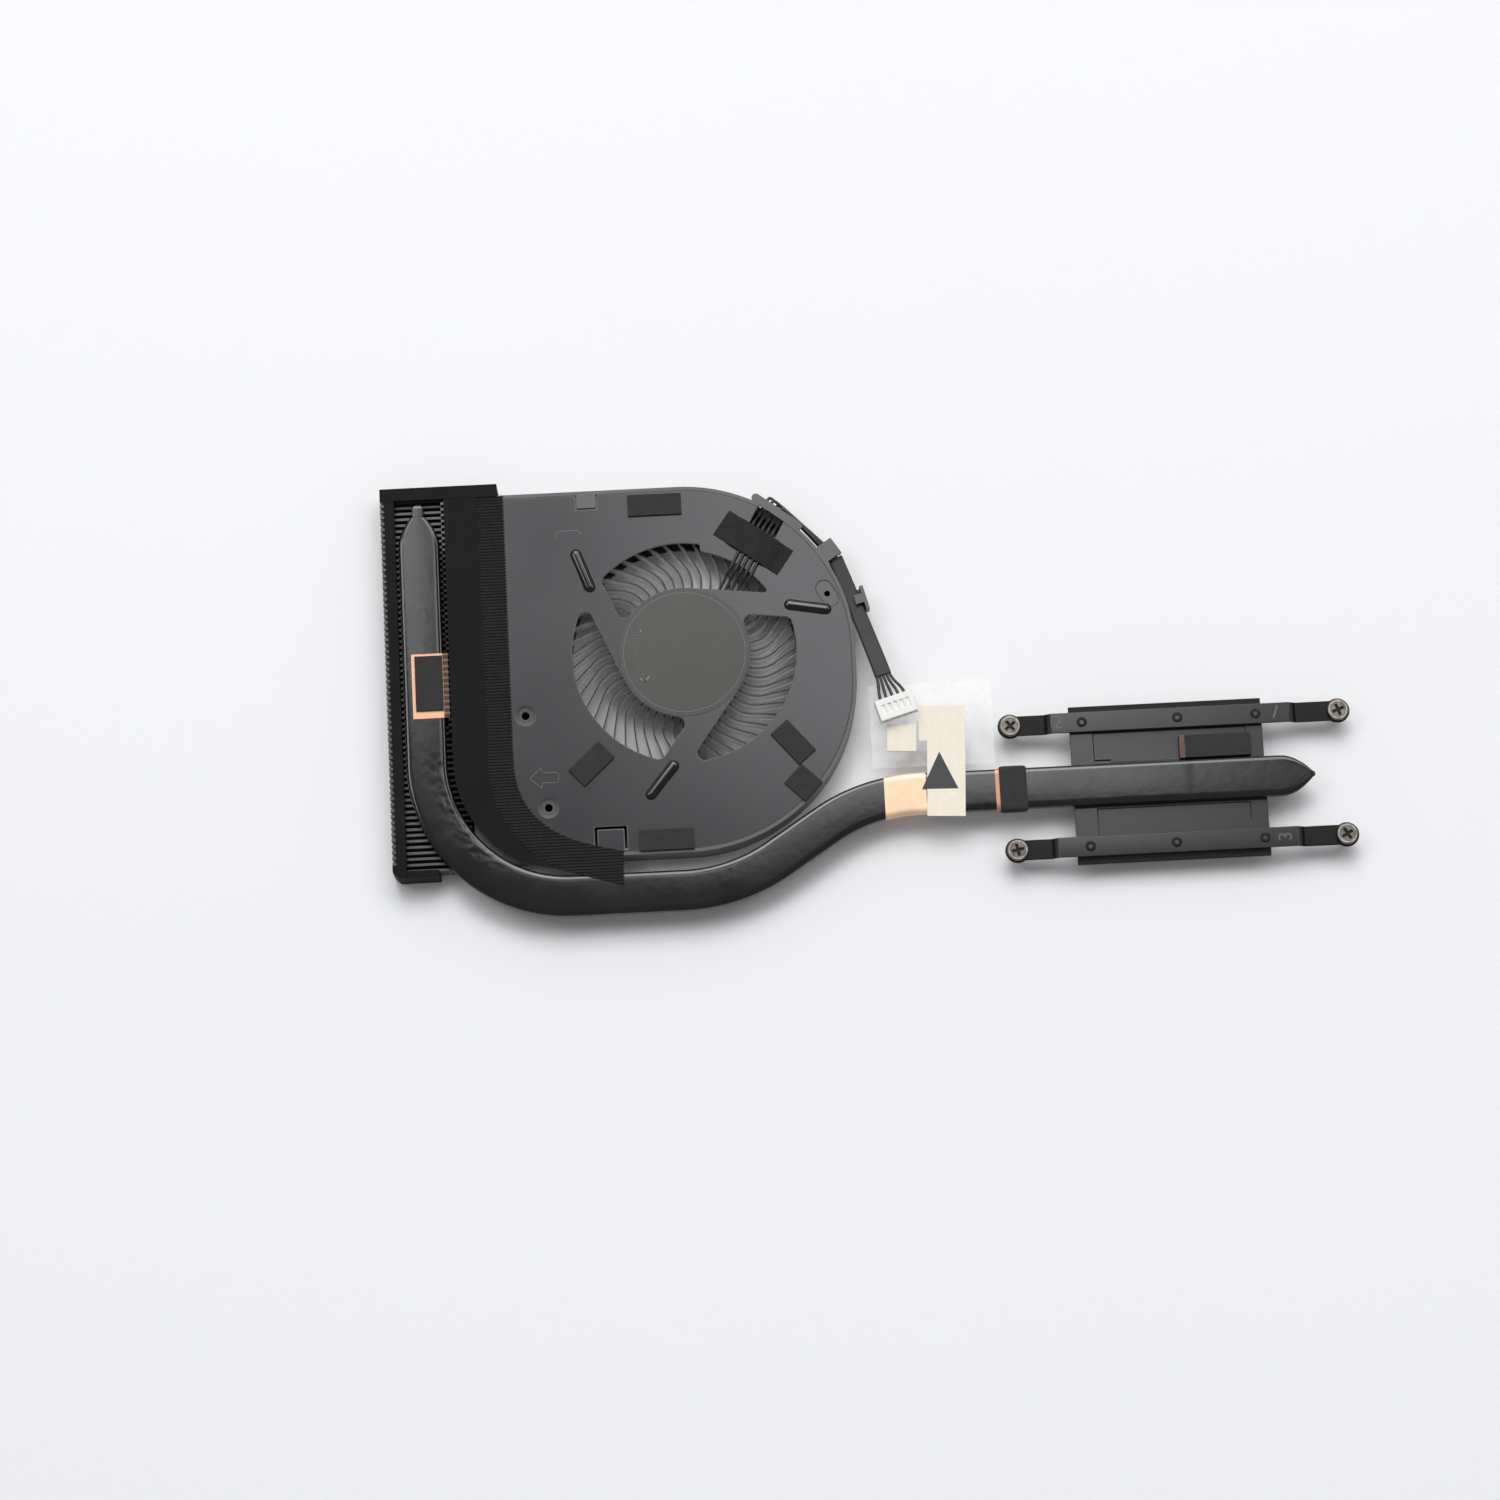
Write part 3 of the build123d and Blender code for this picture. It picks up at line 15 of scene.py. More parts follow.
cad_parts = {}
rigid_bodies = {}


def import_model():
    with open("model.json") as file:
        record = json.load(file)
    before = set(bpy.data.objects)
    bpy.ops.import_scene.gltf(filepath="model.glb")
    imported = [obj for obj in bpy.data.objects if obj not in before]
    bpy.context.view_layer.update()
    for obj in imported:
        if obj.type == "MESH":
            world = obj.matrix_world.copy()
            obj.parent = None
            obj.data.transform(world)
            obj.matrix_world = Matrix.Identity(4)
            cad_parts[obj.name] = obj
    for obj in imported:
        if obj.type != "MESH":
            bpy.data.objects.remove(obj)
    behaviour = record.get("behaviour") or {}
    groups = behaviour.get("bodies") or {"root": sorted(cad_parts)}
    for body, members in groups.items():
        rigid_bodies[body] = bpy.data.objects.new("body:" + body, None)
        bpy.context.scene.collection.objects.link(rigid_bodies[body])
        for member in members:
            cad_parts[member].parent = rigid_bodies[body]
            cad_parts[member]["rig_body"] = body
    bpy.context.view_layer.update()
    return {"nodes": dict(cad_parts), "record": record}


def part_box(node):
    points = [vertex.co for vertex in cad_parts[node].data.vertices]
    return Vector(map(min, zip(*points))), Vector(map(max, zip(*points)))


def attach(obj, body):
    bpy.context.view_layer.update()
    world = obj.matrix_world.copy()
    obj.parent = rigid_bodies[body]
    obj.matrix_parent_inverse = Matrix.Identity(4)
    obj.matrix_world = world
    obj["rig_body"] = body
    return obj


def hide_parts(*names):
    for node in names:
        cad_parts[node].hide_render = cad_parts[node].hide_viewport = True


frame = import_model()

MM = 0.001
NODES = frame["nodes"]
HUB = Vector((-95.3, 30.7, 0.0)) * MM
print("CAD nodes:", len(NODES))

# %% [markdown]
# ## Levels that the pieces share
# Heights are read from the frame, so a piece lands on what carries it even if the solid moves. Plain
# sizes are in millimetres.

# %% Levels
PLATE_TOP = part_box("fan_pad_1")[0].z
FAN_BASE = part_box("bottom_cover")[0].z
PIPE_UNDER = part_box("heat_pipe")[0].z
ARM_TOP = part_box("spring_arm_back")[1].z
PIPE_WIDTH = 8.3
BLADE_HIGH = 2.1
print("plate top", round(PLATE_TOP / MM, 2), "mm, table", round(FAN_BASE / MM, 2), "mm")


def at_hub(x, y, z=0.0):
    return HUB + Vector((x, y, z)) * MM


# %% [markdown]
# ## Camera
# The photograph looks almost straight down, a little from the front, through a long lens. The hub of
# the fan is the fixed point: its place in the picture and its distance give the eye.

# %% Camera
VIEW_TURN = math.radians(-2.9)
VIEW_HEIGHT = math.radians(78.5)
PICTURE = 1500.0
FOCAL_PIXELS = 4460.0
HUB_PIXEL = (684.3, 652.1)
EYE_DISTANCE = 0.892
NEAREST = 0.01

back = Vector((
    math.sin(VIEW_TURN) * math.cos(VIEW_HEIGHT),
    -math.cos(VIEW_TURN) * math.cos(VIEW_HEIGHT),
    math.sin(VIEW_HEIGHT),
))
right = Vector((math.cos(VIEW_TURN), math.sin(VIEW_TURN), 0.0))
upward = back.cross(right)
aside = (HUB_PIXEL[0] - PICTURE / 2) / FOCAL_PIXELS * EYE_DISTANCE
below = (HUB_PIXEL[1] - PICTURE / 2) / FOCAL_PIXELS * EYE_DISTANCE
eye = HUB + Vector((0, 0, PLATE_TOP)) + back * EYE_DISTANCE - right * aside + upward * below

lens = bpy.data.cameras.new("Camera")
lens.sensor_fit = "HORIZONTAL"
lens.angle = 2 * math.atan(PICTURE / 2 / FOCAL_PIXELS)
lens.clip_start = NEAREST
camera = bpy.data.objects.new("Camera", lens)
camera.matrix_world = Matrix.Translation(eye) @ Matrix((right, upward, back)).transposed().to_4x4()
bpy.context.scene.collection.objects.link(camera)
bpy.context.scene.camera = camera
bpy.context.scene.view_settings.view_transform = "Standard"
print("field of view", round(math.degrees(lens.angle), 2), "degrees")

# %% [markdown]
# ## Helpers for node trees
# A finish is a small network of nodes: a pattern in object coordinates drives colour, roughness and a
# fine relief. Small helpers keep each network short enough to read. A helper finds the tree to work in
# from the socket that it is given.

# %% Node helpers


def fill(socket, value):
    """Link a socket to another node's output, or set it to a constant."""
    if isinstance(value, bpy.types.NodeSocket):
        socket.id_data.links.new(value, socket)
    else:
        socket.default_value = value


def set_inputs(node, **values):
    """Fill a node's inputs by name. An underscore stands for a space."""
    for key, value in values.items():
        fill(node.inputs[key.replace("_", " ")], value)


def add_node(tree, kind, settings=None, **values):
    made = tree.nodes.new(kind)
    for key, value in (settings or {}).items():
        setattr(made, key, value)
    set_inputs(made, **values)
    return made


def start_finish(name, roughness, metallic=0.0, specular=0.5):
    """A new material, its shader and the place of a spot on the piece."""
    material = bpy.data.materials.new(name)
    material.use_nodes = True
    nodes = material.node_tree.nodes
    shader = nodes["Principled BSDF"]
    set_inputs(shader, Roughness=roughness, Metallic=metallic, Specular_IOR_Level=specular)
    return material, shader, nodes.new("ShaderNodeTexCoord").outputs["Object"]


def axes(place):
    """The X, Y and Z of a vector."""
    return add_node(place.id_data, "ShaderNodeSeparateXYZ", Vector=place).outputs


def mottle(place, scale, detail=4.0, stretch=(1.0, 1.0, 1.0)):
    """Cloudy noise from 0 to 1. The scale is in features per metre."""
    spread = add_node(place.id_data, "ShaderNodeMapping", Vector=place, Scale=stretch).outputs[0]
    made = add_node(place.id_data, "ShaderNodeTexNoise", Vector=spread, Scale=scale, Detail=detail)
    return made.outputs["Fac"]


def between(factor, low, high, low_out=0.0, high_out=1.0):
    """A ramp from one value to another between two limits, and level beyond them."""
    made = add_node(factor.id_data, "ShaderNodeMapRange", Value=factor, From_Min=low, From_Max=high)
    set_inputs(made, To_Min=low_out, To_Max=high_out)
    return made.outputs["Result"]


def maths(operation, first, second=0.5):
    made = add_node(first.id_data, "ShaderNodeMath", {"operation": operation})
    for socket, value in zip(made.inputs, (first, second)):
        fill(socket, value)
    return made.outputs[0]


def two_tone(factor, first, second):
    """A mix of two colours. Each is a grey, a red, green and blue, or another node's output."""
    made = add_node(factor.id_data, "ShaderNodeMix", {"data_type": "RGBA"}, Factor=factor)
    for socket, colour in zip(made.inputs[6:8], (first, second)):
        if isinstance(colour, float):
            colour = (colour, colour, colour)
        fill(socket, (*colour, 1.0) if isinstance(colour, tuple) else colour)
    return made.outputs[2]


def relief(shader, height, depth, strength=1.0):
    """Bump from a pattern, with its depth in millimetres."""
    made = add_node(height.id_data, "ShaderNodeBump", Height=height, Strength=strength)
    set_inputs(made, Distance=depth * MM)
    set_inputs(shader, Normal=made.outputs["Normal"])

# %% [markdown]
# ## Painted and plated metal
# The fan's plate is dark painted sheet that mirrors the light softly, so most of its look is its
# roughness. The heat pipe, the fins and the arms carry thicker black paint, with a faint orange peel.

# %% Sheet metal finishes


def fan_plate_finish():
    """Dark paint, painted highlight on its turned-down edges, near-black painted shade on the ribs
    above it.
    """
    material, shader, place = start_finish("Satin dark plate", 0.1)
    cloud = mottle(place, 45, 5)
    height = axes(place)["Z"]
    slope = axes(place.id_data.nodes.new("ShaderNodeNewGeometry").outputs["True Normal"])["Z"]
    # Sloped faces of the bevels are painted paler: a painted highlight along the plate's edges.
    edge = maths("MULTIPLY", between(slope, 0.9, 0.94, 1.0, 0.0), between(slope, 0.2, 0.3))
    # Whatever stands above the plate is painted near black: painted shade on the ribs.
    rib_shade = between(height, PLATE_TOP + 0.02 * MM, PLATE_TOP + 0.06 * MM)
    sunk = between(height, PLATE_TOP - 0.05 * MM, PLATE_TOP - 0.02 * MM, 0.35, 0.0)
    flat = two_tone(cloud, (0.031, 0.031, 0.033), (0.038, 0.038, 0.04))
    edge_highlight = two_tone(edge, flat, (0.22, 0.22, 0.225))
    gloss = maths("ADD", sunk, between(cloud, 0.3, 0.7, 0.09, 0.12))
    set_inputs(shader, Base_Color=two_tone(rib_shade, edge_highlight, 0.005), Roughness=gloss)
    relief(shader, mottle(place, 5200, 2), 0.001)
    return material


def clouded_finish(name, tones, shine, cloud, gloss=None, grain=None):
    """Two tones in soft clouds. Gloss may follow the clouds, and a finer grain may give relief."""
    material, shader, place = start_finish(name, *shine)
    patches = mottle(place, *cloud)
    set_inputs(shader, Base_Color=two_tone(patches, *tones))
    if gloss:
        set_inputs(shader, Roughness=between(patches, 0.3, 0.7, *gloss))
    if grain:
        pattern, depth = grain
        relief(shader, mottle(place, *pattern), depth)
    return material



def masked_finish(name, paint, mask):
    """Dark gloss paint, black and dull where the mask is 1. The mask comes from a spot's axes."""
    material, shader, place = start_finish(name, 0.12)
    tone = two_tone(mottle(place, 260, 5), *paint)
    share = mask(axes(place))
    set_inputs(shader, Base_Color=two_tone(share, tone, 0.003))
    set_inputs(shader, Roughness=between(share, 0.0, 1.0, 0.12, 0.42))
    set_inputs(shader, Specular_IOR_Level=between(share, 0.0, 1.0, 0.5, 0.2))
    relief(shader, mottle(place, 2600, 2), 0.002)
    return material


def arm_ends(axis):
    """The ends of the arms lie lower than the rails."""
    return between(axis["Z"], ARM_TOP - 0.6 * MM, ARM_TOP - 0.4 * MM, 1.0, 0.0)


def plate_lips(axis):
    """The lips of the base plate stand out beyond the arms, at the back and at the front."""
    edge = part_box("spring_arm_back")[1].y
    return between(maths("ABSOLUTE", axis["Y"]), edge - 0.2 * MM, edge - 0.1 * MM)


def rivet_rings(axis):
    """A rivet's ring stands above the arm round its dimple."""
    return between(axis["Z"], ARM_TOP + 0.05 * MM, ARM_TOP + 0.09 * MM)


def fin_finish():
    """Painted fins, darker and duller in the gap between the pipe and the seal band."""
    material, shader, place = start_finish("Painted fin", 0.34, 0.0, 0.6)
    cloud = mottle(place, 300, 4, (0.2, 1.0, 1.0))
    leg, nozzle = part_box("heat_pipe")
    beside = leg.x + PIPE_WIDTH * MM
    axis = axes(place)
    past_leg = between(axis["X"], beside - 0.1 * MM, beside + 0.2 * MM)
    below_neck = between(axis["Y"], nozzle.y - 12 * MM, nozzle.y - 8 * MM, 1.0, 0.0)
    darker_gap = maths("MULTIPLY", past_leg, below_neck)
    paint = two_tone(cloud, (0.03, 0.03, 0.031), (0.075, 0.075, 0.077))
    set_inputs(shader, Base_Color=two_tone(darker_gap, paint, 0.008))
    set_inputs(shader, Roughness=between(cloud, 0.2, 0.8, 0.28, 0.44))
    set_inputs(shader, Specular_IOR_Level=between(darker_gap, 0.0, 1.0, 0.6, 0.15))
    return material


def nickel_finish():
    """Pale nickel, darker in the dish of a screw's head, with near-black painted shade in its cross."""
    material, shader, place = start_finish("Nickel plate", 0.36, 0.9)
    height = axes(place)["Z"]
    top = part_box("captive_screw_1")[1].z
    shade = mottle(place, 900, 4)
    for depth, rim, share in ((0.5, 0.3, 0.0), (0.09, 0.03, 0.42)):
        shade = maths("MULTIPLY", shade, between(height, top - depth * MM, top - rim * MM, share))
    set_inputs(shader, Base_Color=two_tone(shade, (0.02, 0.019, 0.017), (0.62, 0.57, 0.5)))
    relief(shader, mottle(place, 4000, 2), 0.008)
    return material


def copper_finish(name, dull, bright, crease, metallic=0.85):
    creases = ((700, 3, (1.0, 0.35, 1.0)), crease)
    return clouded_finish(name, (dull, bright), (0.34, metallic), (420, 5), (0.28, 0.42), creases)



def ground_copper_finish():
    """Ground copper below and solder-tinned above, where the base plate is joined to it."""
    material, shader, place = start_finish("Ground copper", 0.34, 0.85)
    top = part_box("contact_plate")[1].z
    tinned = between(axes(place)["Z"], top - 0.1 * MM, top - 0.05 * MM)
    lines = mottle(place, 900, 3, (0.05, 1.0, 1.0))
    copper = two_tone(lines, (0.62, 0.33, 0.2), (0.78, 0.46, 0.3))
    set_inputs(shader, Base_Color=two_tone(tinned, copper, (0.1, 0.1, 0.098)))
    relief(shader, lines, 0.004)
    return material


def steel_finish(name, dark, pale, roughness):
    return clouded_finish(name, (dark, pale), (roughness, 1.0), (2400, 2, (1.0, 1.0, 0.1)))



PIPE_PAINT = ((0.003, 0.006), (0.09, 0.0, 0.6), (120, 5), (0.07, 0.11), ((500, 3), 0.004))
STEELS = {
    "bearing_bronze": ("Sintered bronze", (0.42, 0.29, 0.14), (0.58, 0.42, 0.22), 0.45),
    "bright_steel": ("Turned steel", (0.5, 0.5, 0.51), (0.68, 0.68, 0.69), 0.25),
    "core_steel": ("Stacked core steel", (0.28, 0.28, 0.29), (0.42, 0.42, 0.43), 0.4),
    "terminal": ("Tinned terminal", (0.6, 0.52, 0.36), (0.76, 0.68, 0.5), 0.25),
    "magnet": ("Bonded magnet", (0.07, 0.07, 0.075), (0.12, 0.12, 0.125), 0.6),
}
FINISHES = {
    "fan_plate": fan_plate_finish(),
    "pipe_coating": clouded_finish("Black pipe paint", *PIPE_PAINT),
    "black_steel": masked_finish("Black arm paint", (0.02, 0.03), arm_ends),
    "fin_metal": fin_finish(),
    "screw_nickel": nickel_finish(),
    "copper_foil": copper_finish("Copper foil", (0.76, 0.5, 0.33), (0.9, 0.63, 0.43), 0.06, 0.4),
    "bare_copper": ground_copper_finish(),
    "coil_wire": copper_finish("Enamelled winding", (0.4, 0.16, 0.06), (0.62, 0.28, 0.12), 0.02),
}
for slot, values in STEELS.items():
    FINISHES[slot] = steel_finish(*values)
BASE_TONES = ((0.024, 0.024, 0.025), (0.036, 0.036, 0.037))
BASE_PAINT = masked_finish("Base plate paint", BASE_TONES, plate_lips)
RIVET_PAINT = masked_finish("Rivet paint", (0.03, 0.045), rivet_rings)
STAINED = copper_finish("Stained foil", (0.07, 0.028, 0.02), (0.13, 0.06, 0.045), 0.04, 0.3)
EDGE_FOIL = copper_finish("Edge foil", (0.42, 0.19, 0.1), (0.66, 0.36, 0.22), 0.04, 0.3)
print("metal finishes:", len(FINISHES))

# %% [markdown]
# ## Plastic, foam, tape and paper
# These are dull, so their look is in small variations: cells in foam, threads in woven tape, fibres in
# paper.

# %% Soft and moulded finishes
SHADED_CREST = 0.3


def plastic_finish(name, dark, pale, roughness, specular=0.5):
    shine, gloss = (roughness, 0.0, specular), (roughness - 0.05, roughness + 0.08)
    return clouded_finish(name, (dark, pale), shine, (160, 4), gloss, ((2600, 2), 0.01))



def blade_finish():
    """Grey plastic, made pale in part as painted light between the blades, with painted shade along
    each blade's crest, where no light comes back up.
    """
    material, shader, place = start_finish("Blade plastic and painted light", 0.3)
    crest = between(axes(place)["Z"], (BLADE_HIGH - SHADED_CREST) * MM, (BLADE_HIGH - SHADED_CREST / 2) * MM)
    # The faces' pale tone is partly the plastic's own and partly painted light.
    plastic = two_tone(mottle(place, 160, 4), (0.66, 0.66, 0.664), (0.74, 0.74, 0.744))
    set_inputs(shader, Base_Color=two_tone(crest, plastic, 0.02))
    relief(shader, mottle(place, 2600, 2), 0.01)
    return material


def foam_finish():
    material, shader, place = start_finish("Black foam", 0.85, 0.0, 0.2)
    cells = add_node(place.id_data, "ShaderNodeTexVoronoi", Vector=place, Scale=4200.0)
    set_inputs(shader, Base_Color=two_tone(mottle(place, 500, 4), 0.028, 0.042))
    relief(shader, cells.outputs["Distance"], 0.03)
    return material


def cloth_finish():
    """Threads that cross at right angles, a few to a millimetre."""
    material, shader, place = start_finish("Woven tape", 0.62, 0.0, 0.2)
    warp = mottle(place, 5200, 1, (1.0, 0.12, 1.0))
    weft = mottle(place, 5200, 1, (0.12, 1.0, 1.0))
    thread = between(maths("MAXIMUM", warp, weft), 0.45, 0.7)
    set_inputs(shader, Base_Color=two_tone(thread, 0.007, 0.016))
    relief(shader, thread, 0.02)
    return material


def film_finish():
    material, shader, place = start_finish("Clear film", 0.08)
    cloud = mottle(place, 220, 3)
    veil = between(cloud, 0.35, 0.7, 0.06, 0.2)
    set_inputs(shader, Base_Color=two_tone(cloud, (0.93, 0.94, 0.95), 0.98), Alpha=veil)
    relief(shader, mottle(place, 90, 2), 0.25)
    return material


CREAM = ((0.82, 0.74, 0.61), (0.92, 0.85, 0.73))
LABEL_TONES = ((0.045, 0.045, 0.04), (0.054, 0.054, 0.048))
FIBRES = (900, 6, (1.0, 0.4, 1.0))
SHEETS = {
    "paper": ("Cream paper", CREAM, (0.75, 0.0, 0.25), FIBRES, None, ((3000, 3), 0.01)),
    "label_film": ("Hub label film", LABEL_TONES, (0.26, 0.0, 0.4), (160, 4), None, ((2600, 2), 0.002)),
}
PLASTICS = {
    "smooth_tape": ("Smooth tape", 0.005, 0.01, 0.66, 0.12),
    "frame_plastic": ("Frame plastic", (0.075, 0.075, 0.077), (0.095, 0.095, 0.097), 0.42),
    "wire_jacket": ("Wire jacket", (0.01, 0.01, 0.011), (0.02, 0.02, 0.021), 0.35),
    "sleeve": ("Lead sleeve", (0.022, 0.022, 0.023), (0.032, 0.032, 0.033), 0.5, 0.32),
    "white_plastic": ("White connector", (0.78, 0.78, 0.74), (0.85, 0.85, 0.81), 0.4),
    "ring_plastic": ("Ring plastic", (0.02, 0.02, 0.021), (0.035, 0.035, 0.036), 0.5),
    "board": ("Board resin", (0.02, 0.12, 0.05), (0.04, 0.2, 0.09), 0.4),
}
for slot, values in PLASTICS.items():
    FINISHES[slot] = plastic_finish(*values)
FINISHES["impeller_plastic"] = blade_finish()
FINISHES["foam"] = foam_finish()
FINISHES["cloth"] = cloth_finish()
FINISHES["clear_film"] = film_finish()
for slot, values in SHEETS.items():
    FINISHES[slot] = clouded_finish(*values)
SKINNED = plastic_finish("Skinned foam", 0.005, 0.009, 0.64, 0.12)
PRINT_TONES = ((0.15, 0.15, 0.135), (0.2, 0.2, 0.18))
LABEL_PRINT = plastic_finish("Label print", *PRINT_TONES, 0.5)
PRINTED_GREY = plastic_finish("Printed grey", (0.06, 0.06, 0.065), (0.08, 0.08, 0.085), 0.6, 0.2)
# Pressed and stamped marks are drawn as pale lines: a painted highlight where their edges catch the
# light.
PRESSED_LINE_HIGHLIGHT = plastic_finish("Pressed line highlight", (0.075, 0.075, 0.077), (0.095, 0.095, 0.097), 0.3)
print("finishes:", len(FINISHES))

# %% [markdown]
# ## Finishes on the solids
# The record says which finish each node takes. A solid that is dressed later is hidden then, so every
# node gets its finish here.

# %% Give every solid its finish
SLOT_OF = {part["node"]: part["material_slot"] for part in frame["record"]["subparts"]}
BODY_OF = {name: solid["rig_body"] for name, solid in NODES.items()}
OWN_FINISH = {"plate_pad_edge": STAINED, "base_plate": BASE_PAINT}


def give_finish(name, finish):
    solid = NODES[name]
    solid.data.materials.clear()
    solid.data.materials.append(finish)


for name in NODES:
    give_finish(name, OWN_FINISH.get(name, FINISHES[SLOT_OF[name]]))
print("solids with a finish:", len(SLOT_OF))

# %% [markdown]
# ## From a mesh to a piece of the module
# A finished piece lies at the origin with its place in its mesh, takes its finish from a slot of the
# record, rides on a body and stands for the solids that it replaces.

# %% Piece helpers
EDGE_ANGLE = math.radians(30.0)
FLAT_ANGLE = math.radians(0.5)
MERGE_REACH = 0.0005 * MM


def holder_of(data, name):
    holder = bpy.data.objects.new(name, data)
    bpy.context.scene.collection.objects.link(holder)
    return holder


def keep(name, mesh, slot, stands_for=(), body="module", finish=None):
    piece = holder_of(mesh, name)
    if finish:
        mesh.materials.clear()
    if not mesh.materials:
        mesh.materials.append(finish or FINISHES[slot])
    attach(piece, body)
    if stands_for:
        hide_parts(*stands_for)
    print(name, len(mesh.polygons), "faces")
    return piece


def mesh_from(form, name, smooth_under=35.0):
    bmesh.ops.recalc_face_normals(form, faces=form.faces)
    mesh = bpy.data.meshes.new(name)
    form.to_mesh(mesh)
    form.free()
    mesh.shade_smooth()
    mesh.set_sharp_from_angle(angle=math.radians(smooth_under))
    return mesh


def evaluated(holder):
    """The plain mesh that an object has after its modifiers. The object itself is removed."""
    bpy.context.view_layer.update()
    graph = bpy.context.evaluated_depsgraph_get()
    mesh = bpy.data.meshes.new_from_object(holder.evaluated_get(graph), depsgraph=graph)
    bpy.data.objects.remove(holder)
    return mesh


def soft_edges(mesh, width, segments, clamped):
    holder = holder_of(mesh, "edges")
    bevel = holder.modifiers.new("Edges", "BEVEL")
    bevel.width = width
    bevel.segments = segments
    bevel.limit_method = "ANGLE"
    bevel.angle_limit = EDGE_ANGLE
    bevel.use_clamp_overlap = clamped
    holder.modifiers.new("Normals", "WEIGHTED_NORMAL").keep_sharp = True
    return evaluated(holder)


def merged_copy(node):
    form = bmesh.new()
    form.from_mesh(NODES[node].data)
    bmesh.ops.remove_doubles(form, verts=form.verts, dist=MERGE_REACH)
    bmesh.ops.dissolve_limit(form, angle_limit=FLAT_ANGLE, verts=form.verts, edges=form.edges)
    return mesh_from(form, node + "_copy")


def dressed(node, width, segments=2, finish=None, clamped=True):
    mesh = soft_edges(merged_copy(node), width * MM, segments, clamped)
    finish = finish or OWN_FINISH.get(node)
    return keep("dressed_" + node, mesh, SLOT_OF[node], [node], BODY_OF[node], finish)


# %% Helpers that build shapes from rings of points


def bridge(form, rings):
    """Faces between each ring of points and the next."""
    for low, high in zip(rings, rings[1:]):
        for index in range(len(low)):
            after = (index + 1) % len(low)
            form.faces.new((low[index], high[index], high[after], low[after]))


def shell(form, rings):
    """Rings joined by faces, with a lid on both ends."""
    bridge(form, rings)
    form.faces.new(rings[0])
    form.faces.new(rings[-1][::-1])


def skin(rings, name):
    form = bmesh.new()
    shell(form, [[form.verts.new(spot) for spot in ring] for ring in rings])
    return mesh_from(form, name, 50.0)


def prism(form, corners, sweep):
    """A straight prism, with its corners and its sweep in millimetres."""
    near = [Vector(corner) for corner in corners]
    far = [corner + Vector(sweep) for corner in near]
    shell(form, [[form.verts.new(corner * MM) for corner in ring] for ring in (near, far)])


def circles(form, profile, segments):
    """A round ring of points for each radius and height of a profile."""
    turns = [2 * math.pi * step / segments for step in range(segments)]
    ways = [(math.cos(turn), math.sin(turn)) for turn in turns]
    return [[form.verts.new((r * c * MM, r * s * MM, z * MM)) for c, s in ways] for r, z in profile]


def lathe(profile, segments, name):
    """A ring of revolution whose profile is a closed outline."""
    form = bmesh.new()
    rings = circles(form, profile, segments)
    bridge(form, rings + rings[:1])
    return mesh_from(form, name)


def turned(profile, segments, name):
    """A solid of revolution whose profile starts and ends on the axis."""
    form = bmesh.new()
    shell(form, circles(form, profile[1:-1], segments))
    return mesh_from(form, name, 30.0)


def joined(meshes, name):
    form = bmesh.new()
    for mesh in meshes:
        form.from_mesh(mesh)
    return mesh_from(form, name)


def half_turns(steps):
    """Angles from a quarter turn back to a quarter turn forward."""
    return [math.pi * step / steps - math.pi / 2 for step in range(steps + 1)]


def clipped(value):
    return min(1.0, max(0.0, value))

# %% [markdown]
# ## Edges that catch the light
# Pressed sheet, moulded plastic and die-cut foam all have edges a little rounder than a solid's. A
# bevel on a merged copy of each solid gives the thin bright lines that the photograph shows.

# %% Dress the hard pieces
EDGE_WIDTHS = {
    # The plate's finish also paints a highlight on these bevelled edges.
    "motor_plate": 0.2,
    "volute_frame": 0.18,
    "bottom_cover": 0.08,
    "base_plate": 0.12,
    "spring_arm_back": 0.14,
    "spring_arm_front": 0.14,
    "connector_housing": 0.12,
    "hub_label": 0.04,
    "contact_plate": 0.1,
    "wire_tape": 0.05,
}
for node, width in EDGE_WIDTHS.items():
    dressed(node, width, clamped=node != "motor_plate")

# %% Dress the foam
FOAM_EDGES = {"plate_pad": 0.2, "pipe_pad_left": 0.14}
FOAM_EDGES.update({f"fan_pad_{number}": 0.12 for number in range(1, 6)})
STRIP_EDGE = 0.08
for node, width in FOAM_EDGES.items():
    dressed(node, width, 3)
for node in ("fin_strip_back", "fin_strip_front"):
    dressed(node, STRIP_EDGE, 3, SKINNED)

# %% [markdown]
# ## Impeller
# Forty-nine thin blades leave the hub straight, bend once and then run straight to the tips. One blade
# is drawn, and a Geometry Nodes tree turns copies of it round the hub, so that the number of blades
# stays one input.

# %% One blade
BLADES = 49
BLADE_LOW = -2.3
BLADE_ROOT = 12.0
BEND_START = 13.6
BEND_RADIUS = 6.0
BEND_ANGLE = math.radians(48.0)
BEND_STEPS = 10
TIP_RADIUS = 29.55
ROOT_HALF = 0.19
TIP_HALF = 0.13
EDGE_ROUND = 0.07


def blade_line():
    """Points and directions along the middle of a blade."""
    points = [(Vector((BLADE_ROOT, 0.0)), 0.0)]
    for step in range(BEND_STEPS + 1):
        turn = BEND_ANGLE * step / BEND_STEPS
        x = BEND_START + BEND_RADIUS * math.sin(turn)
        points.append((Vector((x, BEND_RADIUS * (1 - math.cos(turn)))), turn))
    last, turn = points[-1]
    way = Vector((math.cos(turn), math.sin(turn)))
    inward = last.dot(way)
    length = math.sqrt(inward**2 + TIP_RADIUS**2 - last.length_squared) - inward
    return points + [(last + way * length * share, turn) for share in (0.5, 1.0)]


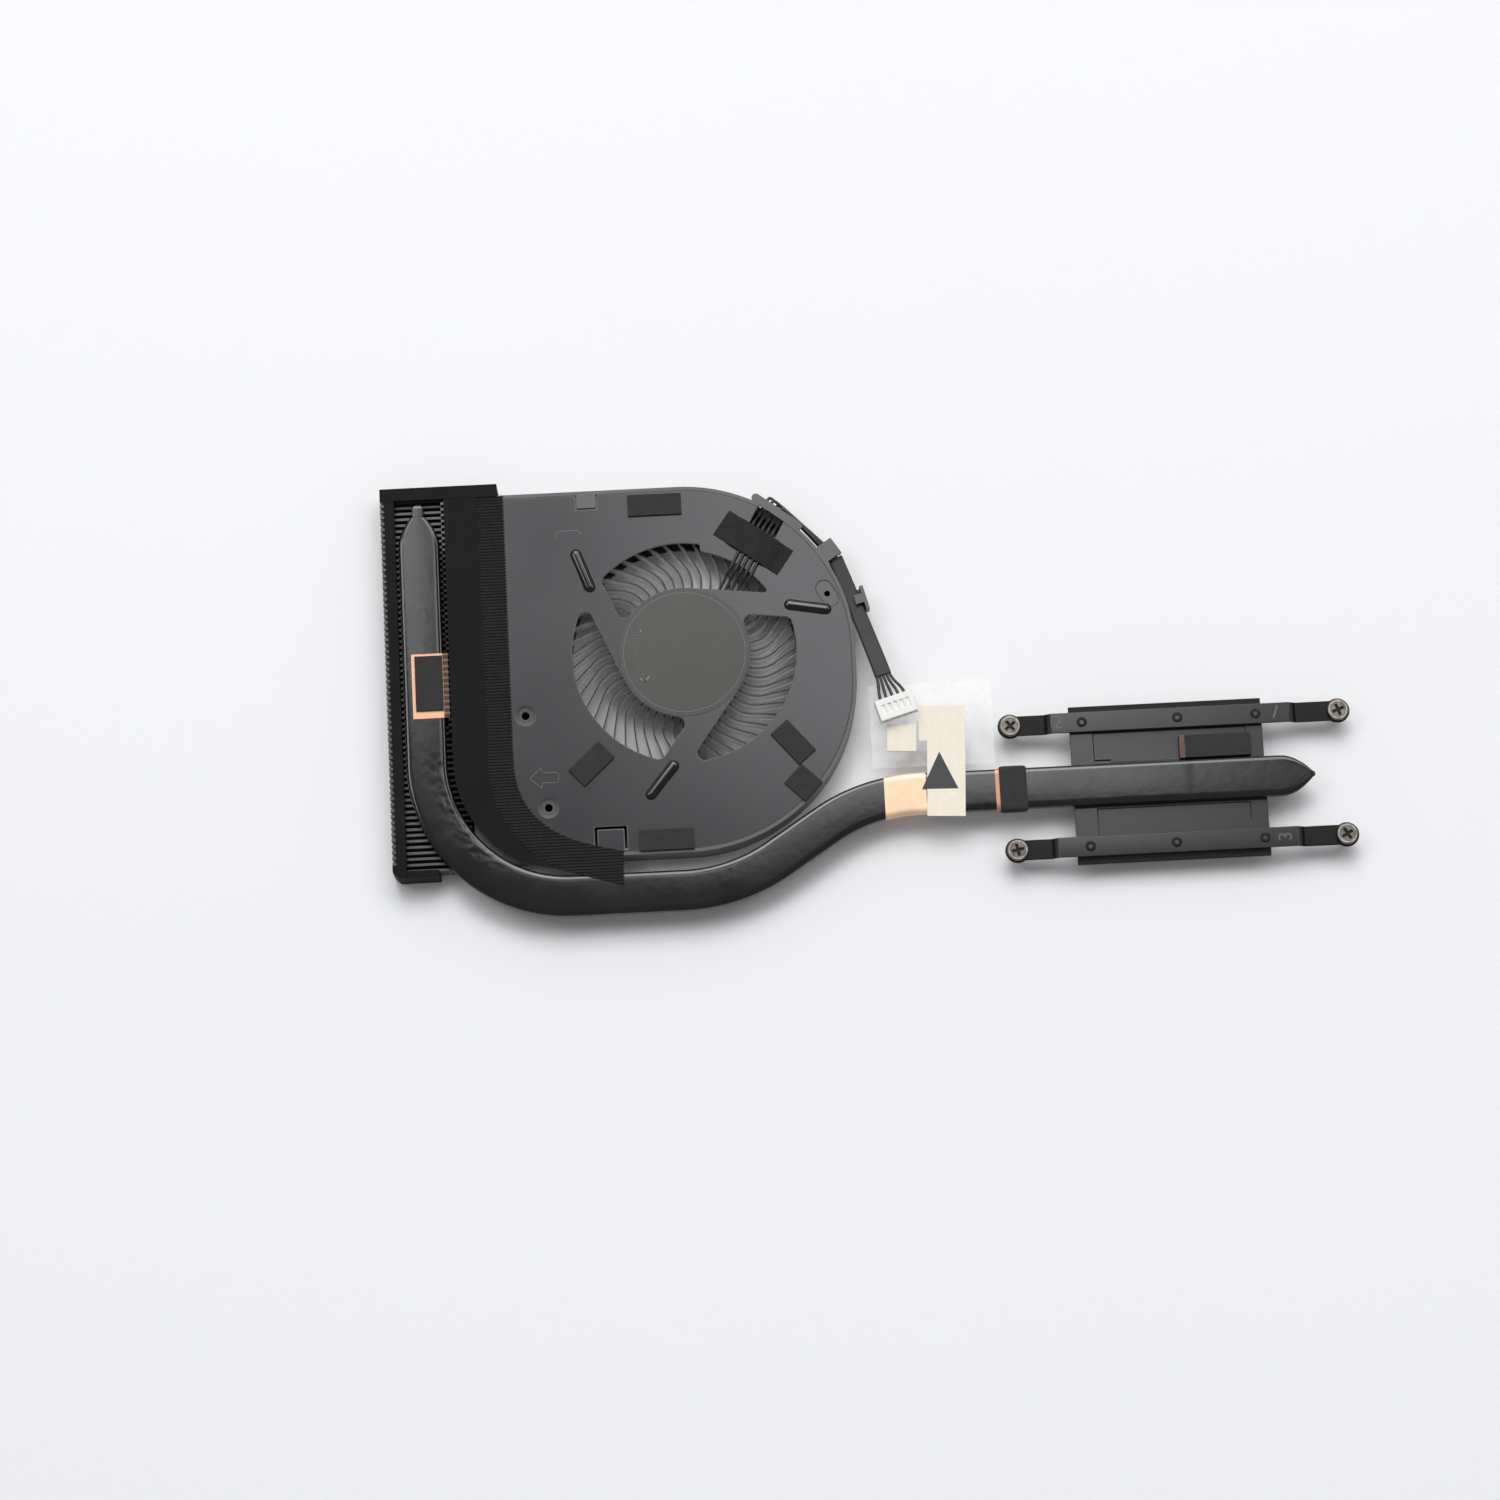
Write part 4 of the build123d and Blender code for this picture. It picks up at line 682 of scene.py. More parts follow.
def blade_ring(form, line, shrink, z):
    sides = ([], [])
    for index, (spot, turn) in enumerate(line):
        half = ROOT_HALF + (TIP_HALF - ROOT_HALF) * index / (len(line) - 1) - shrink
        normal = Vector((-math.sin(turn), math.cos(turn)))
        for side, sign in zip(sides, (-1, 1)):
            side.append(form.verts.new((*(spot + normal * half * sign) * MM, z * MM)))
    return sides[0] + sides[1][::-1]


def blade_mesh():
    form = bmesh.new()
    line = blade_line()
    levels = [(0.0, BLADE_LOW), (0.0, BLADE_HIGH - EDGE_ROUND), (EDGE_ROUND, BLADE_HIGH)]
    shell(form, [blade_ring(form, line, shrink, z) for shrink, z in levels])
    return mesh_from(form, "blade", 40.0)

# %% A tree that repeats a piece round an axis


def new_tree(name, **kinds):
    """A tree with inputs for a geometry, for values of these kinds and for a finish."""
    tree = bpy.data.node_groups.new(name, "GeometryNodeTree")
    for label, kind in {"Geometry": "Geometry", **kinds, "Finish": "Material"}.items():
        tree.interface.new_socket(label, in_out="INPUT", socket_type="NodeSocket" + kind)
    tree.interface.new_socket("Geometry", in_out="OUTPUT", socket_type="NodeSocketGeometry")
    return tree, tree.nodes.new("NodeGroupInput").outputs


def finish_tree(given, geometry):
    tree = geometry.id_data
    solid = add_node(tree, "GeometryNodeRealizeInstances", Geometry=geometry).outputs[0]
    painted = add_node(tree, "GeometryNodeSetMaterial", Geometry=solid, Material=given["Finish"])
    add_node(tree, "NodeGroupOutput", Geometry=painted.outputs[0])
    return tree


def on_points(points, piece, **turn):
    tree = points.id_data
    made = add_node(tree, "GeometryNodeInstanceOnPoints", Points=points, Instance=piece, **turn)
    return made.outputs[0]


def on_axis(axis, value):
    """A vector along one axis, for a step or a turn."""
    return add_node(value.id_data, "ShaderNodeCombineXYZ", **{axis: value}).outputs[0]


def grown(mesh, tree, name, **values):
    """The mesh that a tree makes from a mesh, with its inputs set by name."""
    holder = holder_of(mesh, name)
    modifier = holder.modifiers.new(name, "NODES")
    modifier.node_group = tree
    for item in tree.interface.items_tree:
        if item.in_out == "INPUT" and item.name in values:
            modifier[item.identifier] = values[item.name]
    made = evaluated(holder)
    made.name = name
    return made


def ring_tree():
    tree, given = new_tree("Round the axis", Count="Int")
    points = add_node(tree, "GeometryNodePoints", Count=given["Count"]).outputs[0]
    share = maths("DIVIDE", tree.nodes.new("GeometryNodeInputIndex").outputs[0], given["Count"])
    turn = on_axis("Z", maths("MULTIPLY", share, 2 * math.pi))
    return finish_tree(given, on_points(points, given["Geometry"], Rotation=turn))


ROUND_THE_AXIS = ring_tree()

# %% Hub and blades
HUB_RADIUS = 12.4
HUB_INNER = 11.6
HUB_SEGMENTS = 96
HUB_PROFILE = (
    (1.0, -2.4),
    (HUB_RADIUS - 0.5, -2.4),
    (HUB_RADIUS - 0.15, -2.25),
    (HUB_RADIUS, -1.9),
    (HUB_RADIUS, 1.6),
    (HUB_RADIUS - 0.2, 1.8),
    (HUB_INNER, 1.8),
    (HUB_INNER, -1.8),
    (1.0, -1.8),
)
plastic = FINISHES["impeller_plastic"]
blades = grown(blade_mesh(), ROUND_THE_AXIS, "blades", Count=BLADES, Finish=plastic)
wheel = joined([blades, lathe(HUB_PROFILE, HUB_SEGMENTS, "hub")], "wheel")
wheel.transform(Matrix.Translation(HUB))
keep("bladed_wheel", wheel, "impeller_plastic", ["impeller"], "rotor")

# %% [markdown]
# ## Fin stack
# Sixty-four thin aluminium fins stand in a row across the fan's outlet. Each has a channel for the
# pipe, and its upper edges are folded over as narrow tabs that space it from the next fin. Two kinds
# are drawn, because the channel is open at one side near the front, and a tree sets each kind in a
# row.

# %% One fin
FIN_LOW, FIN_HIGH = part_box("fin_stack")
FIN_SIZE = (FIN_HIGH - FIN_LOW) / MM
FIN_COUNT = 64
OPEN_FINS = 23
FIN_PITCH = FIN_SIZE.y / FIN_COUNT
FIN_SHEET = 0.2
FIN_TAB = 0.6
FIN_FOLD = 0.07
FIN_SHOULDER = 2.8
CHANNEL_END = 12.2
CHANNEL_FLOOR = (PIPE_UNDER - FIN_LOW.z) / MM - 0.02


def folded_tab(form, x0, x1, z):
    low = z - FIN_SHEET
    profile = [(0, low), (0, z - FIN_FOLD), (FIN_FOLD, z)]
    profile += [(FIN_TAB - FIN_FOLD, z), (FIN_TAB, z - FIN_FOLD), (FIN_TAB, low)]
    prism(form, [(x0, y, height) for y, height in profile], (x1 - x0, 0, 0))


def fin_mesh(open_side):
    form = bmesh.new()
    top = FIN_SIZE.z - FIN_SHEET / 2
    low = CHANNEL_FLOOR - FIN_SHEET / 2
    wall = [(0, 0), (0, top), (FIN_SHOULDER, top), (FIN_SHOULDER, low)]
    if not open_side:
        wall += [(CHANNEL_END, low), (CHANNEL_END, top), (FIN_SIZE.x, top), (FIN_SIZE.x, 0)]
    else:
        wall += [(FIN_SIZE.x, low), (FIN_SIZE.x, 0)]
    prism(form, [(x, 0, z) for x, z in wall], (0, FIN_SHEET, 0))
    folded_tab(form, 0, FIN_SHOULDER, FIN_SIZE.z)
    folded_tab(form, FIN_SHOULDER, FIN_SIZE.x if open_side else CHANNEL_END, CHANNEL_FLOOR)
    if not open_side:
        folded_tab(form, CHANNEL_END, FIN_SIZE.x, FIN_SIZE.z)
    return mesh_from(form, "fin", 25.0)

# %% A tree that repeats a piece in a row


def row_tree():
    """A row along Y whose pieces lean a little, each by its own chance."""
    tree, given = new_tree("Row of fins", Count="Int", Pitch="Float", Lean="Float", Seed="Int")
    step = on_axis("Y", given["Pitch"])
    row = add_node(tree, "GeometryNodeMeshLine", Count=given["Count"], Offset=step).outputs[0]
    chance = add_node(tree, "FunctionNodeRandomValue", Seed=given["Seed"])
    fill(chance.inputs[2], maths("MULTIPLY", given["Lean"], -1.0))
    fill(chance.inputs[3], given["Lean"])
    turn = on_axis("X", chance.outputs[1])
    return finish_tree(given, on_points(row, given["Geometry"], Rotation=turn))


ROW_OF_FINS = row_tree()
FIN_VALUES = {"Pitch": FIN_PITCH * MM, "Lean": math.radians(0.5), "Finish": FINISHES["fin_metal"]}


def fin_row(open_side, count, first, seed):
    row = grown(fin_mesh(open_side), ROW_OF_FINS, "fins", Count=count, Seed=seed, **FIN_VALUES)
    row.transform(Matrix.Translation((0, first * FIN_PITCH * MM, 0)))
    return row


def fin_floor():
    form = bmesh.new()
    corners = [(0, 0, 0), (FIN_SIZE.x, 0, 0), (FIN_SIZE.x, 0, FIN_SHEET), (0, 0, FIN_SHEET)]
    prism(form, corners, (0, FIN_SIZE.y, 0))
    return mesh_from(form, "fin floor")


rows = [fin_row(True, OPEN_FINS, 0, 3), fin_row(False, FIN_COUNT - OPEN_FINS, OPEN_FINS, 4)]
fins = joined([*rows, fin_floor()], "fins")
fins.transform(Matrix.Translation(FIN_LOW))
keep("folded_fins", fins, "fin_metal", ["fin_stack"])

# %% [markdown]
# ## Heat pipe
# The pipe is a round copper tube pressed flat, so its section is a bar with full round sides. Sections
# are placed along a route of straight runs and arcs and joined by faces. The paint wrinkles where the
# tube was bent, so the skin is moved a little by noise there.

# %% Route of the pipe
PIPE_THICKNESS = 2.2
PIPE_MIDDLE = PIPE_UNDER / MM + PIPE_THICKNESS / 2
LEG_X = -52.3
LEG_TOP = 24.4
RUN_Y = -48.15
SWAN_START = 8.0
SWAN_END = 35.0
PIPE_Y = -31.0
TAPER_START = 117.3
PIPE_ROUTE = (
    (LEG_X, LEG_TOP),
    (LEG_X, RUN_Y),
    (SWAN_START, RUN_Y),
    (SWAN_END, PIPE_Y),
    (TAPER_START, PIPE_Y),
)
BEND_RADII = (28.0, 35.0, 35.0)
STEP = 0.6


def route_points(corners, radii, step):
    """Points and directions along straight runs joined by arcs."""
    corners = [Vector(corner) for corner in corners]
    line = []
    start = corners[0]
    for index, radius in enumerate(radii, 1):
        before = (corners[index] - corners[index - 1]).normalized()
        after = (corners[index + 1] - corners[index]).normalized()
        turn = before.angle_signed(after)
        cut = radius * math.tan(abs(turn) / 2)
        arc_start = corners[index] - before * cut
        line += straight(start, arc_start, step)
        side = Vector((-before.y, before.x)) * (-1 if turn > 0 else 1)
        centre = arc_start + side * radius
        parts = max(2, int(radius * abs(turn) / step))
        for part in range(parts):
            spin = Matrix.Rotation(-turn * part / parts, 2)
            line.append((centre + spin @ (arc_start - centre), spin @ before))
        start = corners[index] + after * cut
    return line + straight(start, corners[-1], step) + [(corners[-1], after)]


def straight(start, end, step):
    way = (end - start).normalized()
    parts = max(1, int((end - start).length / step))
    return [(start + (end - start) * part / parts, way) for part in range(parts)]


pipe_line = route_points(PIPE_ROUTE, BEND_RADII, STEP)
print("pipe sections", len(pipe_line))

# %% Sections of the pipe
ROUND_STEPS = 12
FLAT_STEPS = 14
PIPE_CROWN = 0.03
SQUARENESS = 0.6


def bar_section(width, thickness, crown=0.0):
    """A pressed tube with squarish round sides, as offsets across and up. A crown lowers its edges."""
    radius = thickness / 2
    flat = width / 2 - radius
    points = []
    for sign in (1, -1):
        for turn in half_turns(ROUND_STEPS):
            out = max(0.0, math.cos(turn)) ** SQUARENESS
            up = math.copysign(abs(math.sin(turn)) ** SQUARENESS, math.sin(turn))
            points.append((sign * (flat + radius * out), sign * radius * up))
        for step in range(1, FLAT_STEPS):
            points.append((sign * flat * (1 - 2 * step / FLAT_STEPS), sign * radius))
    return [(x, up - crown * (2 * x / width) ** 2 * max(0.0, up / radius)) for x, up in points]


def placed_section(spot, way, width, thickness, middle, crown=0.0):
    side = Vector((way.y, -way.x))
    section = bar_section(width, thickness, crown)
    return [at_hub(*(spot + side * across), middle + up) for across, up in section]

# %% Ends of the pipe
NECK_LENGTH = 6.0
NOZZLE_LENGTH = 2.9
NECK = (3.1, 1.5)
NOZZLE = (2.4, 1.1)
NOZZLE_ROUND = 0.9
TIP_LENGTH = 6.95
TIP = (1.2, 0.9)
TIP_ROUND = 0.5
DRAWN_STEPS = 12
ROUND_END_STEPS = 4
ROUND_END_TURN = math.radians(84)
GROOVE_WIDTH = 0.3
GROOVE_WALL = 0.02
GROOVE_SHARES = (0.9, 0.88)
PRESSED_FROM = 98.4
PRESSED_DEPTH = 0.012
PRESSED_RAMP = 1.5


def drawn(length, end):
    """Reach, width and thickness along an end that narrows like a parabola."""
    steps = []
    for step in range(1, DRAWN_STEPS + 1):
        share = step / DRAWN_STEPS
        width = PIPE_WIDTH - (PIPE_WIDTH - end[0]) * share**2
        thickness = PIPE_THICKNESS - (PIPE_THICKNESS - end[1]) * share**2
        steps.append((length * share, width, thickness))
    return steps


def rounded(reach, end, radius):
    """The last few sections of an end, which close it like a dome."""
    turns = [ROUND_END_TURN * step / ROUND_END_STEPS for step in range(1, ROUND_END_STEPS + 1)]
    return [(reach + radius * math.sin(t), end[0] * math.cos(t), end[1] * math.cos(t)) for t in turns]


def groove(reach, end):
    low = (end[0] * GROOVE_SHARES[0], end[1] * GROOVE_SHARES[1])
    after = reach + GROOVE_WIDTH
    return [(reach + GROOVE_WALL, *low), (after - GROOVE_WALL, *low), (after, *end)]


def end_rings(spot, way, steps, least, pressed=0.0):
    """Sections of an end whose upper face stays level: what it loses in thickness, it loses below."""
    rings = []
    for reach, width, thickness in steps:
        middle = PIPE_MIDDLE - (pressed - PIPE_THICKNESS + max(thickness, least)) / 2
        crown = PIPE_CROWN * width / PIPE_WIDTH
        rings.append(placed_section(spot + way * reach, way, width, thickness - pressed, middle, crown))
    return rings


def neck_sections():
    dome = NECK_LENGTH + NOZZLE_LENGTH - NOZZLE_ROUND
    steps = drawn(NECK_LENGTH, NECK) + groove(NECK_LENGTH, NOZZLE)
    steps += [(dome - 0.1, *NOZZLE), (dome, *NOZZLE)] + rounded(dome, NOZZLE, NOZZLE_ROUND)
    return end_rings(*pipe_line[0], [(-step[0], *step[1:]) for step in reversed(steps)], NOZZLE[1])


def tip_sections():
    dome = TIP_LENGTH - TIP_ROUND
    steps = drawn(dome, TIP) + rounded(dome, TIP, TIP_ROUND)
    return end_rings(*pipe_line[-1], steps, TIP[1], PRESSED_DEPTH)


def body_sections():
    rings = []
    for spot, way in pipe_line:
        pressed = clipped((spot.x - PRESSED_FROM) / PRESSED_RAMP) * PRESSED_DEPTH
        size = (PIPE_WIDTH, PIPE_THICKNESS - pressed)
        rings.append(placed_section(spot, way, *size, PIPE_MIDDLE - pressed / 2, PIPE_CROWN))
    return rings

# %% Wrinkles in the bend
WRINKLE_DEPTH = 0.035
COARSE_SCALE = (2.0, 1.4)
FINE_SCALE = (3.1, 2.3)
FINE_SHARE = 0.5
WRINKLE_LEVEL = 0.35
WRINKLE_REACH = 3.0
WRINKLE_FROM = -16.0
WRINKLE_TO = -44.0
WRINKLE_FADE = 5.0
FAINT_WRINKLES = 0.12


def wrinkle_share(x, y):
    """How wrinkled the skin is, from 0 to 1. Most is along the inner side of the first bend."""
    rise = clipped((y - WRINKLE_TO) / WRINKLE_FADE)
    fall = clipped((WRINKLE_FROM - y) / WRINKLE_FADE)
    radius = BEND_RADII[0]
    reach = math.hypot(x - LEG_X - radius, min(0.0, y - RUN_Y - radius))
    inner = clipped((radius + 0.5 - reach) / WRINKLE_REACH)
    return FAINT_WRINKLES + (1 - FAINT_WRINKLES) * rise * fall * inner * (x < LEG_X / 2)


def noise_at(x, y, z, scale):
    return noise.noise(Vector((x * scale[0], y * scale[1], z)))


def wrinkled(mesh):
    for vertex in mesh.vertices:
        x, y, z = (vertex.co - HUB) / MM
        pattern = noise_at(x, y, z, COARSE_SCALE) + FINE_SHARE * noise_at(x, y, z, FINE_SCALE)
        depth = WRINKLE_DEPTH * wrinkle_share(x, y) * (pattern - WRINKLE_LEVEL)
        if z > PIPE_MIDDLE:
            vertex.co.z += min(0.0, depth) * MM
    return mesh


pipe = wrinkled(skin(neck_sections() + body_sections() + tip_sections(), "pipe"))
keep("flattened_pipe", pipe, "pipe_coating", ["heat_pipe"])

# %% [markdown]
# ## Foil and foam round the pipe
# A jacket follows the same route as the pipe, a little larger all round, and is cut square to the
# table's long side. The foil is creased and ends at the paper; the foam band is thicker and has soft
# edges.

# %% Jackets
FOIL_START = 38.35
FOIL_END = 46.7
FOIL_GROWTH = 0.1
BAND_START = 61.3
BAND_LENGTH = 5.4
BAND_GROWTH = 0.5
BAND_ROUND = 0.2
BAND_FOIL_EDGE = 0.8
JACKET_STEPS = 14
CUT_WAY = Vector((1.0, 0.0))


def nearest_on_pipe(x):
    """The point of the pipe's right part at x, and the pipe's direction there."""
    right_part = [(spot, way) for spot, way in pipe_line if spot.y > RUN_Y + 1 and spot.x > 0]
    near, way = min(right_part, key=lambda place: abs(place[0].x - x))
    return near + way * (x - near.x), way


def jacket(name, start, length, growth, slot, stands_for, round_end=0.0, finish=None):
    rings = []
    for step in range(JACKET_STEPS + 1):
        spot, way = nearest_on_pipe(start + length * step / JACKET_STEPS)
        edge = min(step, JACKET_STEPS - step)
        wider = 2 * (growth - round_end * max(0.0, 1 - edge / 2) ** 2)
        width = (PIPE_WIDTH + wider) / way.x
        rings.append(placed_section(spot, CUT_WAY, width, PIPE_THICKNESS + wider, PIPE_MIDDLE))
    return keep(name, skin(rings, name), slot, [stands_for], finish=finish)


jacket("right_foil", FOIL_START, FOIL_END - FOIL_START, FOIL_GROWTH, "copper_foil", "pipe_foil_right")
foil_from = BAND_START - BAND_FOIL_EDGE
foil_length = BAND_FOIL_EDGE + BAND_LENGTH / 2
foil = ("copper_foil", "pipe_wrap_foil")
jacket("band_foil", foil_from, foil_length, FOIL_GROWTH, *foil, finish=EDGE_FOIL)
band = jacket("foam_band", BAND_START, BAND_LENGTH, BAND_GROWTH, "foam", "pipe_wrap", BAND_ROUND)

# %% [markdown]
# ## Woven tape
# A strip of ribbed cloth tape closes the joint between fins and fan. Bump could draw its ribs, but they
# show at the cut edge too, so here they are ridges: rows of points cross the outline of the solid, and
# the rows between two ribs lie lower and end shorter.

# %% Ribbed tape
TAPE_PITCH = 0.625 * MM
ROWS_PER_RIB = 5
TAPE_COLUMNS = 14
TAPE_DEPTH = 0.2 * MM
TOOTH_DEPTH = 0.3 * MM


def top_outline(node):
    """The corners of a flat solid's upper face, in order."""
    mesh = merged_copy(node)
    upper = [face for face in mesh.polygons if face.normal.z > 0.99]
    largest = max(upper, key=lambda face: face.area)
    return [mesh.vertices[index].co.copy() for index in largest.vertices]


def crossed(outline, y):
    """The first and last place where a line along X crosses an outline."""
    places = []
    for here, there in zip(outline, outline[1:] + outline[:1]):
        if (here.y > y) != (there.y > y):
            places.append(here.x + (there.x - here.x) * (y - here.y) / (there.y - here.y))
    return min(places), max(places)


def ribbed_tape(node):
    outline = top_outline(node)
    low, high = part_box(node)
    rows = int((high.y - low.y) / TAPE_PITCH * ROWS_PER_RIB)
    rings = []
    for row in range(rows):
        y = low.y + (high.y - low.y) * (row + 0.5) / rows
        valley = 0.5 - 0.5 * math.cos(2 * math.pi * row / ROWS_PER_RIB)
        left, right = crossed(outline, y)
        right = max(left, right - TOOTH_DEPTH * valley)
        spots = [left + (right - left) * column / TAPE_COLUMNS for column in range(TAPE_COLUMNS + 1)]
        upper = [(x, y, high.z - TAPE_DEPTH * valley) for x in spots]
        rings.append(upper + [(x, y, low.z) for x in reversed(spots)])
    return skin(rings, "tape")


keep("woven_tape", ribbed_tape("cloth_tape"), "cloth", ["cloth_tape"])

# %% [markdown]
# The foil on the pipe's left leg runs over its edge onto the fins. There it is stained brown and the
# fins press through it, so its finish changes across that edge.

# %% Foil over the fins
LEG_EDGE = HUB.x + (LEG_X + PIPE_WIDTH / 2) * MM


def pressed_foil_finish():
    material, shader, place = start_finish("Foil over fins", 0.4, 0.3, 0.4)
    axis = axes(place)
    over = between(axis["X"], LEG_EDGE - 0.45 * MM, LEG_EDGE - 0.1 * MM)
    wave = maths("SINE", maths("MULTIPLY", axis["Y"], 2 * math.pi / (FIN_PITCH * MM)))
    bar = between(wave, 0.2, 0.9, 1.0, 0.8)
    stain = maths("MULTIPLY", over, bar)
    set_inputs(shader, Base_Color=two_tone(stain, (0.72, 0.4, 0.25), (0.035, 0.014, 0.006)))
    relief(shader, bar, 0.05, 0.4)
    return material


give_finish("pipe_foil_left", pressed_foil_finish())
print("foil changes at x", round(LEG_EDGE / MM, 2), "mm")

# %% [markdown]
# ## Wires and sleeve
# Five round wires leave the motor board, rise over the plate, drop through a notch in the rim and run
# outside the wall into a flat sleeve. Each is a smooth spline; a Geometry Nodes tree gives it its round
# section.

# %% Routes of the wires
WIRES = 5
WIRE_RADIUS = 0.31
WIRE_SIDES = 12
WIRE_PITCH = 1.1
WIRE_LOW = 2.94
WIRE_HIGH = 4.16
LEAD_ANGLE = math.radians(60.3)
LEAD_SHIFT = -2.6
LEAD_Z = 1.85
LEAD_COLUMN = 0.68
LEAD_LAYER = 0.72
LEAD_RISE = 17.0
OVER_PLATE = (19.2, 21.0, 29.4, 30.4)
LEAD_DROP = 33.0
LEAD_TURN = 36.3
TURN_CUT = 0.6
LEAD_END = (31.3, -18.1)
BOARD_EDGE = 12.05


def along_lead(t, p, z):
    c, s = math.cos(LEAD_ANGLE), math.sin(LEAD_ANGLE)
    return at_hub(t * c - p * s, t * s + p * c, z)


def from_middle(index):
    """A wire's place in the row of wires, counted from the middle one."""
    return index - (WIRES - 1) / 2


def wire_points(index):
    p = LEAD_SHIFT + from_middle(index) * WIRE_PITCH
    start = math.sqrt(BOARD_EDGE**2 - p * p)
    column = LEAD_COLUMN * from_middle(index) / 2
    layer = LEAD_Z + LEAD_LAYER * (index % 2 - 0.5)
    run = Vector((LEAD_END[0] - LEAD_TURN, LEAD_END[1] - LEAD_SHIFT)).normalized()
    points = [along_lead(t, p, WIRE_LOW) for t in (start, LEAD_RISE)]
    points += [along_lead(t, p, WIRE_HIGH) for t in OVER_PLATE]
    points += [along_lead(t, p, layer) for t in (LEAD_DROP, LEAD_TURN + column - TURN_CUT)]
    points.append(along_lead(LEAD_TURN + column, p - TURN_CUT, layer))
    points.append(along_lead(LEAD_END[0] - run.y * column, LEAD_END[1] + run.x * column, layer))
    return points


def splines(name, routes):
    curve = bpy.data.curves.new(name, "CURVE")
    curve.dimensions = "3D"
    for points in routes:
        spline = curve.splines.new("NURBS")
        spline.points.add(len(points) - 1)
        for point, spot in zip(spline.points, points):
            point.co = (*spot, 1.0)
        spline.order_u = 3
        spline.use_endpoint_u = True
        spline.resolution_u = 6
    return curve


def wire_tree():
    tree, given = new_tree("Round wire", Radius="Float", Sides="Int")
    ring = add_node(tree, "GeometryNodeCurvePrimitiveCircle", Resolution=given["Sides"])
    set_inputs(ring, Radius=given["Radius"])
    tube = add_node(tree, "GeometryNodeCurveToMesh", Curve=given["Geometry"], Fill_Caps=True)
    set_inputs(tube, Profile_Curve=ring.outputs[0])
    return finish_tree(given, tube.outputs[0])


ROUND_WIRE = wire_tree()


def keep_wires(name, route, stands_for):
    """Round wires along a route that each wire's number gives."""
    curves = splines(name, [route(index) for index in range(WIRES)])
    jacket_finish = FINISHES["wire_jacket"]
    size = {"Radius": WIRE_RADIUS * MM, "Sides": WIRE_SIDES}
    mesh = grown(curves, ROUND_WIRE, name, Finish=jacket_finish, **size)
    keep(name, mesh, "wire_jacket", [stands_for])


keep_wires("lead_wires", wire_points, "fan_wires")

# %% [markdown]
# The sleeve is a flat shrunk tube that widens a little towards the connector, so it is skinned from
# sections along its spline. The tails fan out from it to the connector's pitch.

# %% Sleeve and tails
SLEEVE_BEND = Vector((37.25, 1.15))
SLEEVE_END = Vector((39.4, -6.8))
SLEEVE_HIGH = LEAD_Z + 2.6
SLEEVE_WIDTHS = (3.0, 3.4)
SLEEVE_THICKNESS = 1.25
CONNECTOR = Vector((41.6, -13.6))
CONNECTOR_TURN = math.radians(16.0)
CONNECTOR_BACK = 2.15
CONNECTOR_PITCH = 1.25
CONNECTOR_MIDDLE = 5.4
TAIL_SPREAD = 0.66
TAIL_INSIDE = 0.4
TAIL_STRAIGHT = 1.0


def spots_along(route):
    """The points of a spline, in millimetres from the hub."""
    mesh = evaluated(holder_of(splines("route", [route]), "route"))
    return [(vertex.co - HUB) / MM for vertex in mesh.vertices]


def sleeve_mesh():
    start = along_lead(*LEAD_END, LEAD_Z)
    spots = spots_along([start, at_hub(*SLEEVE_BEND, LEAD_Z), at_hub(*SLEEVE_END, SLEEVE_HIGH)])
    last = len(spots) - 1
    rings = []
    for index, spot in enumerate(spots):
        way = (spots[min(index + 1, last)] - spots[max(index - 1, 0)]).to_2d().normalized()
        width = SLEEVE_WIDTHS[0] + (SLEEVE_WIDTHS[1] - SLEEVE_WIDTHS[0]) * index / last
        rings.append(placed_section(spot.to_2d(), way, width, SLEEVE_THICKNESS, spot.z))
    return skin(rings, "sleeve")


def tail_points(index):
    way = (SLEEVE_END - SLEEVE_BEND).normalized()
    start = SLEEVE_END + Vector((-way.y, way.x)) * from_middle(index) * TAIL_SPREAD
    facing = Matrix.Rotation(CONNECTOR_TURN, 2)
    points = [at_hub(*(start + way * reach), SLEEVE_HIGH) for reach in (-TAIL_INSIDE, TAIL_STRAIGHT)]
    for reach in (TAIL_STRAIGHT, 0.0):
        spot = Vector((from_middle(index) * CONNECTOR_PITCH, CONNECTOR_BACK + reach))
        points.append(at_hub(*(CONNECTOR + facing @ spot), CONNECTOR_MIDDLE))
    return points


keep("flat_sleeve", sleeve_mesh(), "sleeve", ["lead_sleeve"])
keep_wires("wire_tails", tail_points, "lead_tails")

# %% [markdown]
# ## Captive screws
# Each screw has a low head with a cross recess, a neck that the retaining ring snaps onto, and a short
# thread. The body of a screw is a profile turned on a lathe; the cross is cut by a Boolean; and a tree
# sets one copy on each of the four bodies.

# %% One screw
HEAD_RADIUS = 2.15
HEAD_LOW = 2.05
HEAD_HIGH = 2.95
HEAD_CHAMFER = 0.28
HEAD_DISH = 0.1
NECK_RADIUS = 0.75
THREAD_TOP = -0.35
THREAD_END = -2.55
THREAD_RADIUS = 0.95
THREAD_ROOT = 0.76
THREAD_PITCH = 0.4
THREAD_RIDGE = ((THREAD_ROOT, 0.02), (THREAD_RADIUS, 0.14), (THREAD_RADIUS, 0.2), (THREAD_ROOT, 0.32))
RECESS_SPAN = 2.5
RECESS_WIDTH = 0.64
RECESS_DEPTH = 0.55
SCREW_SEGMENTS = 48


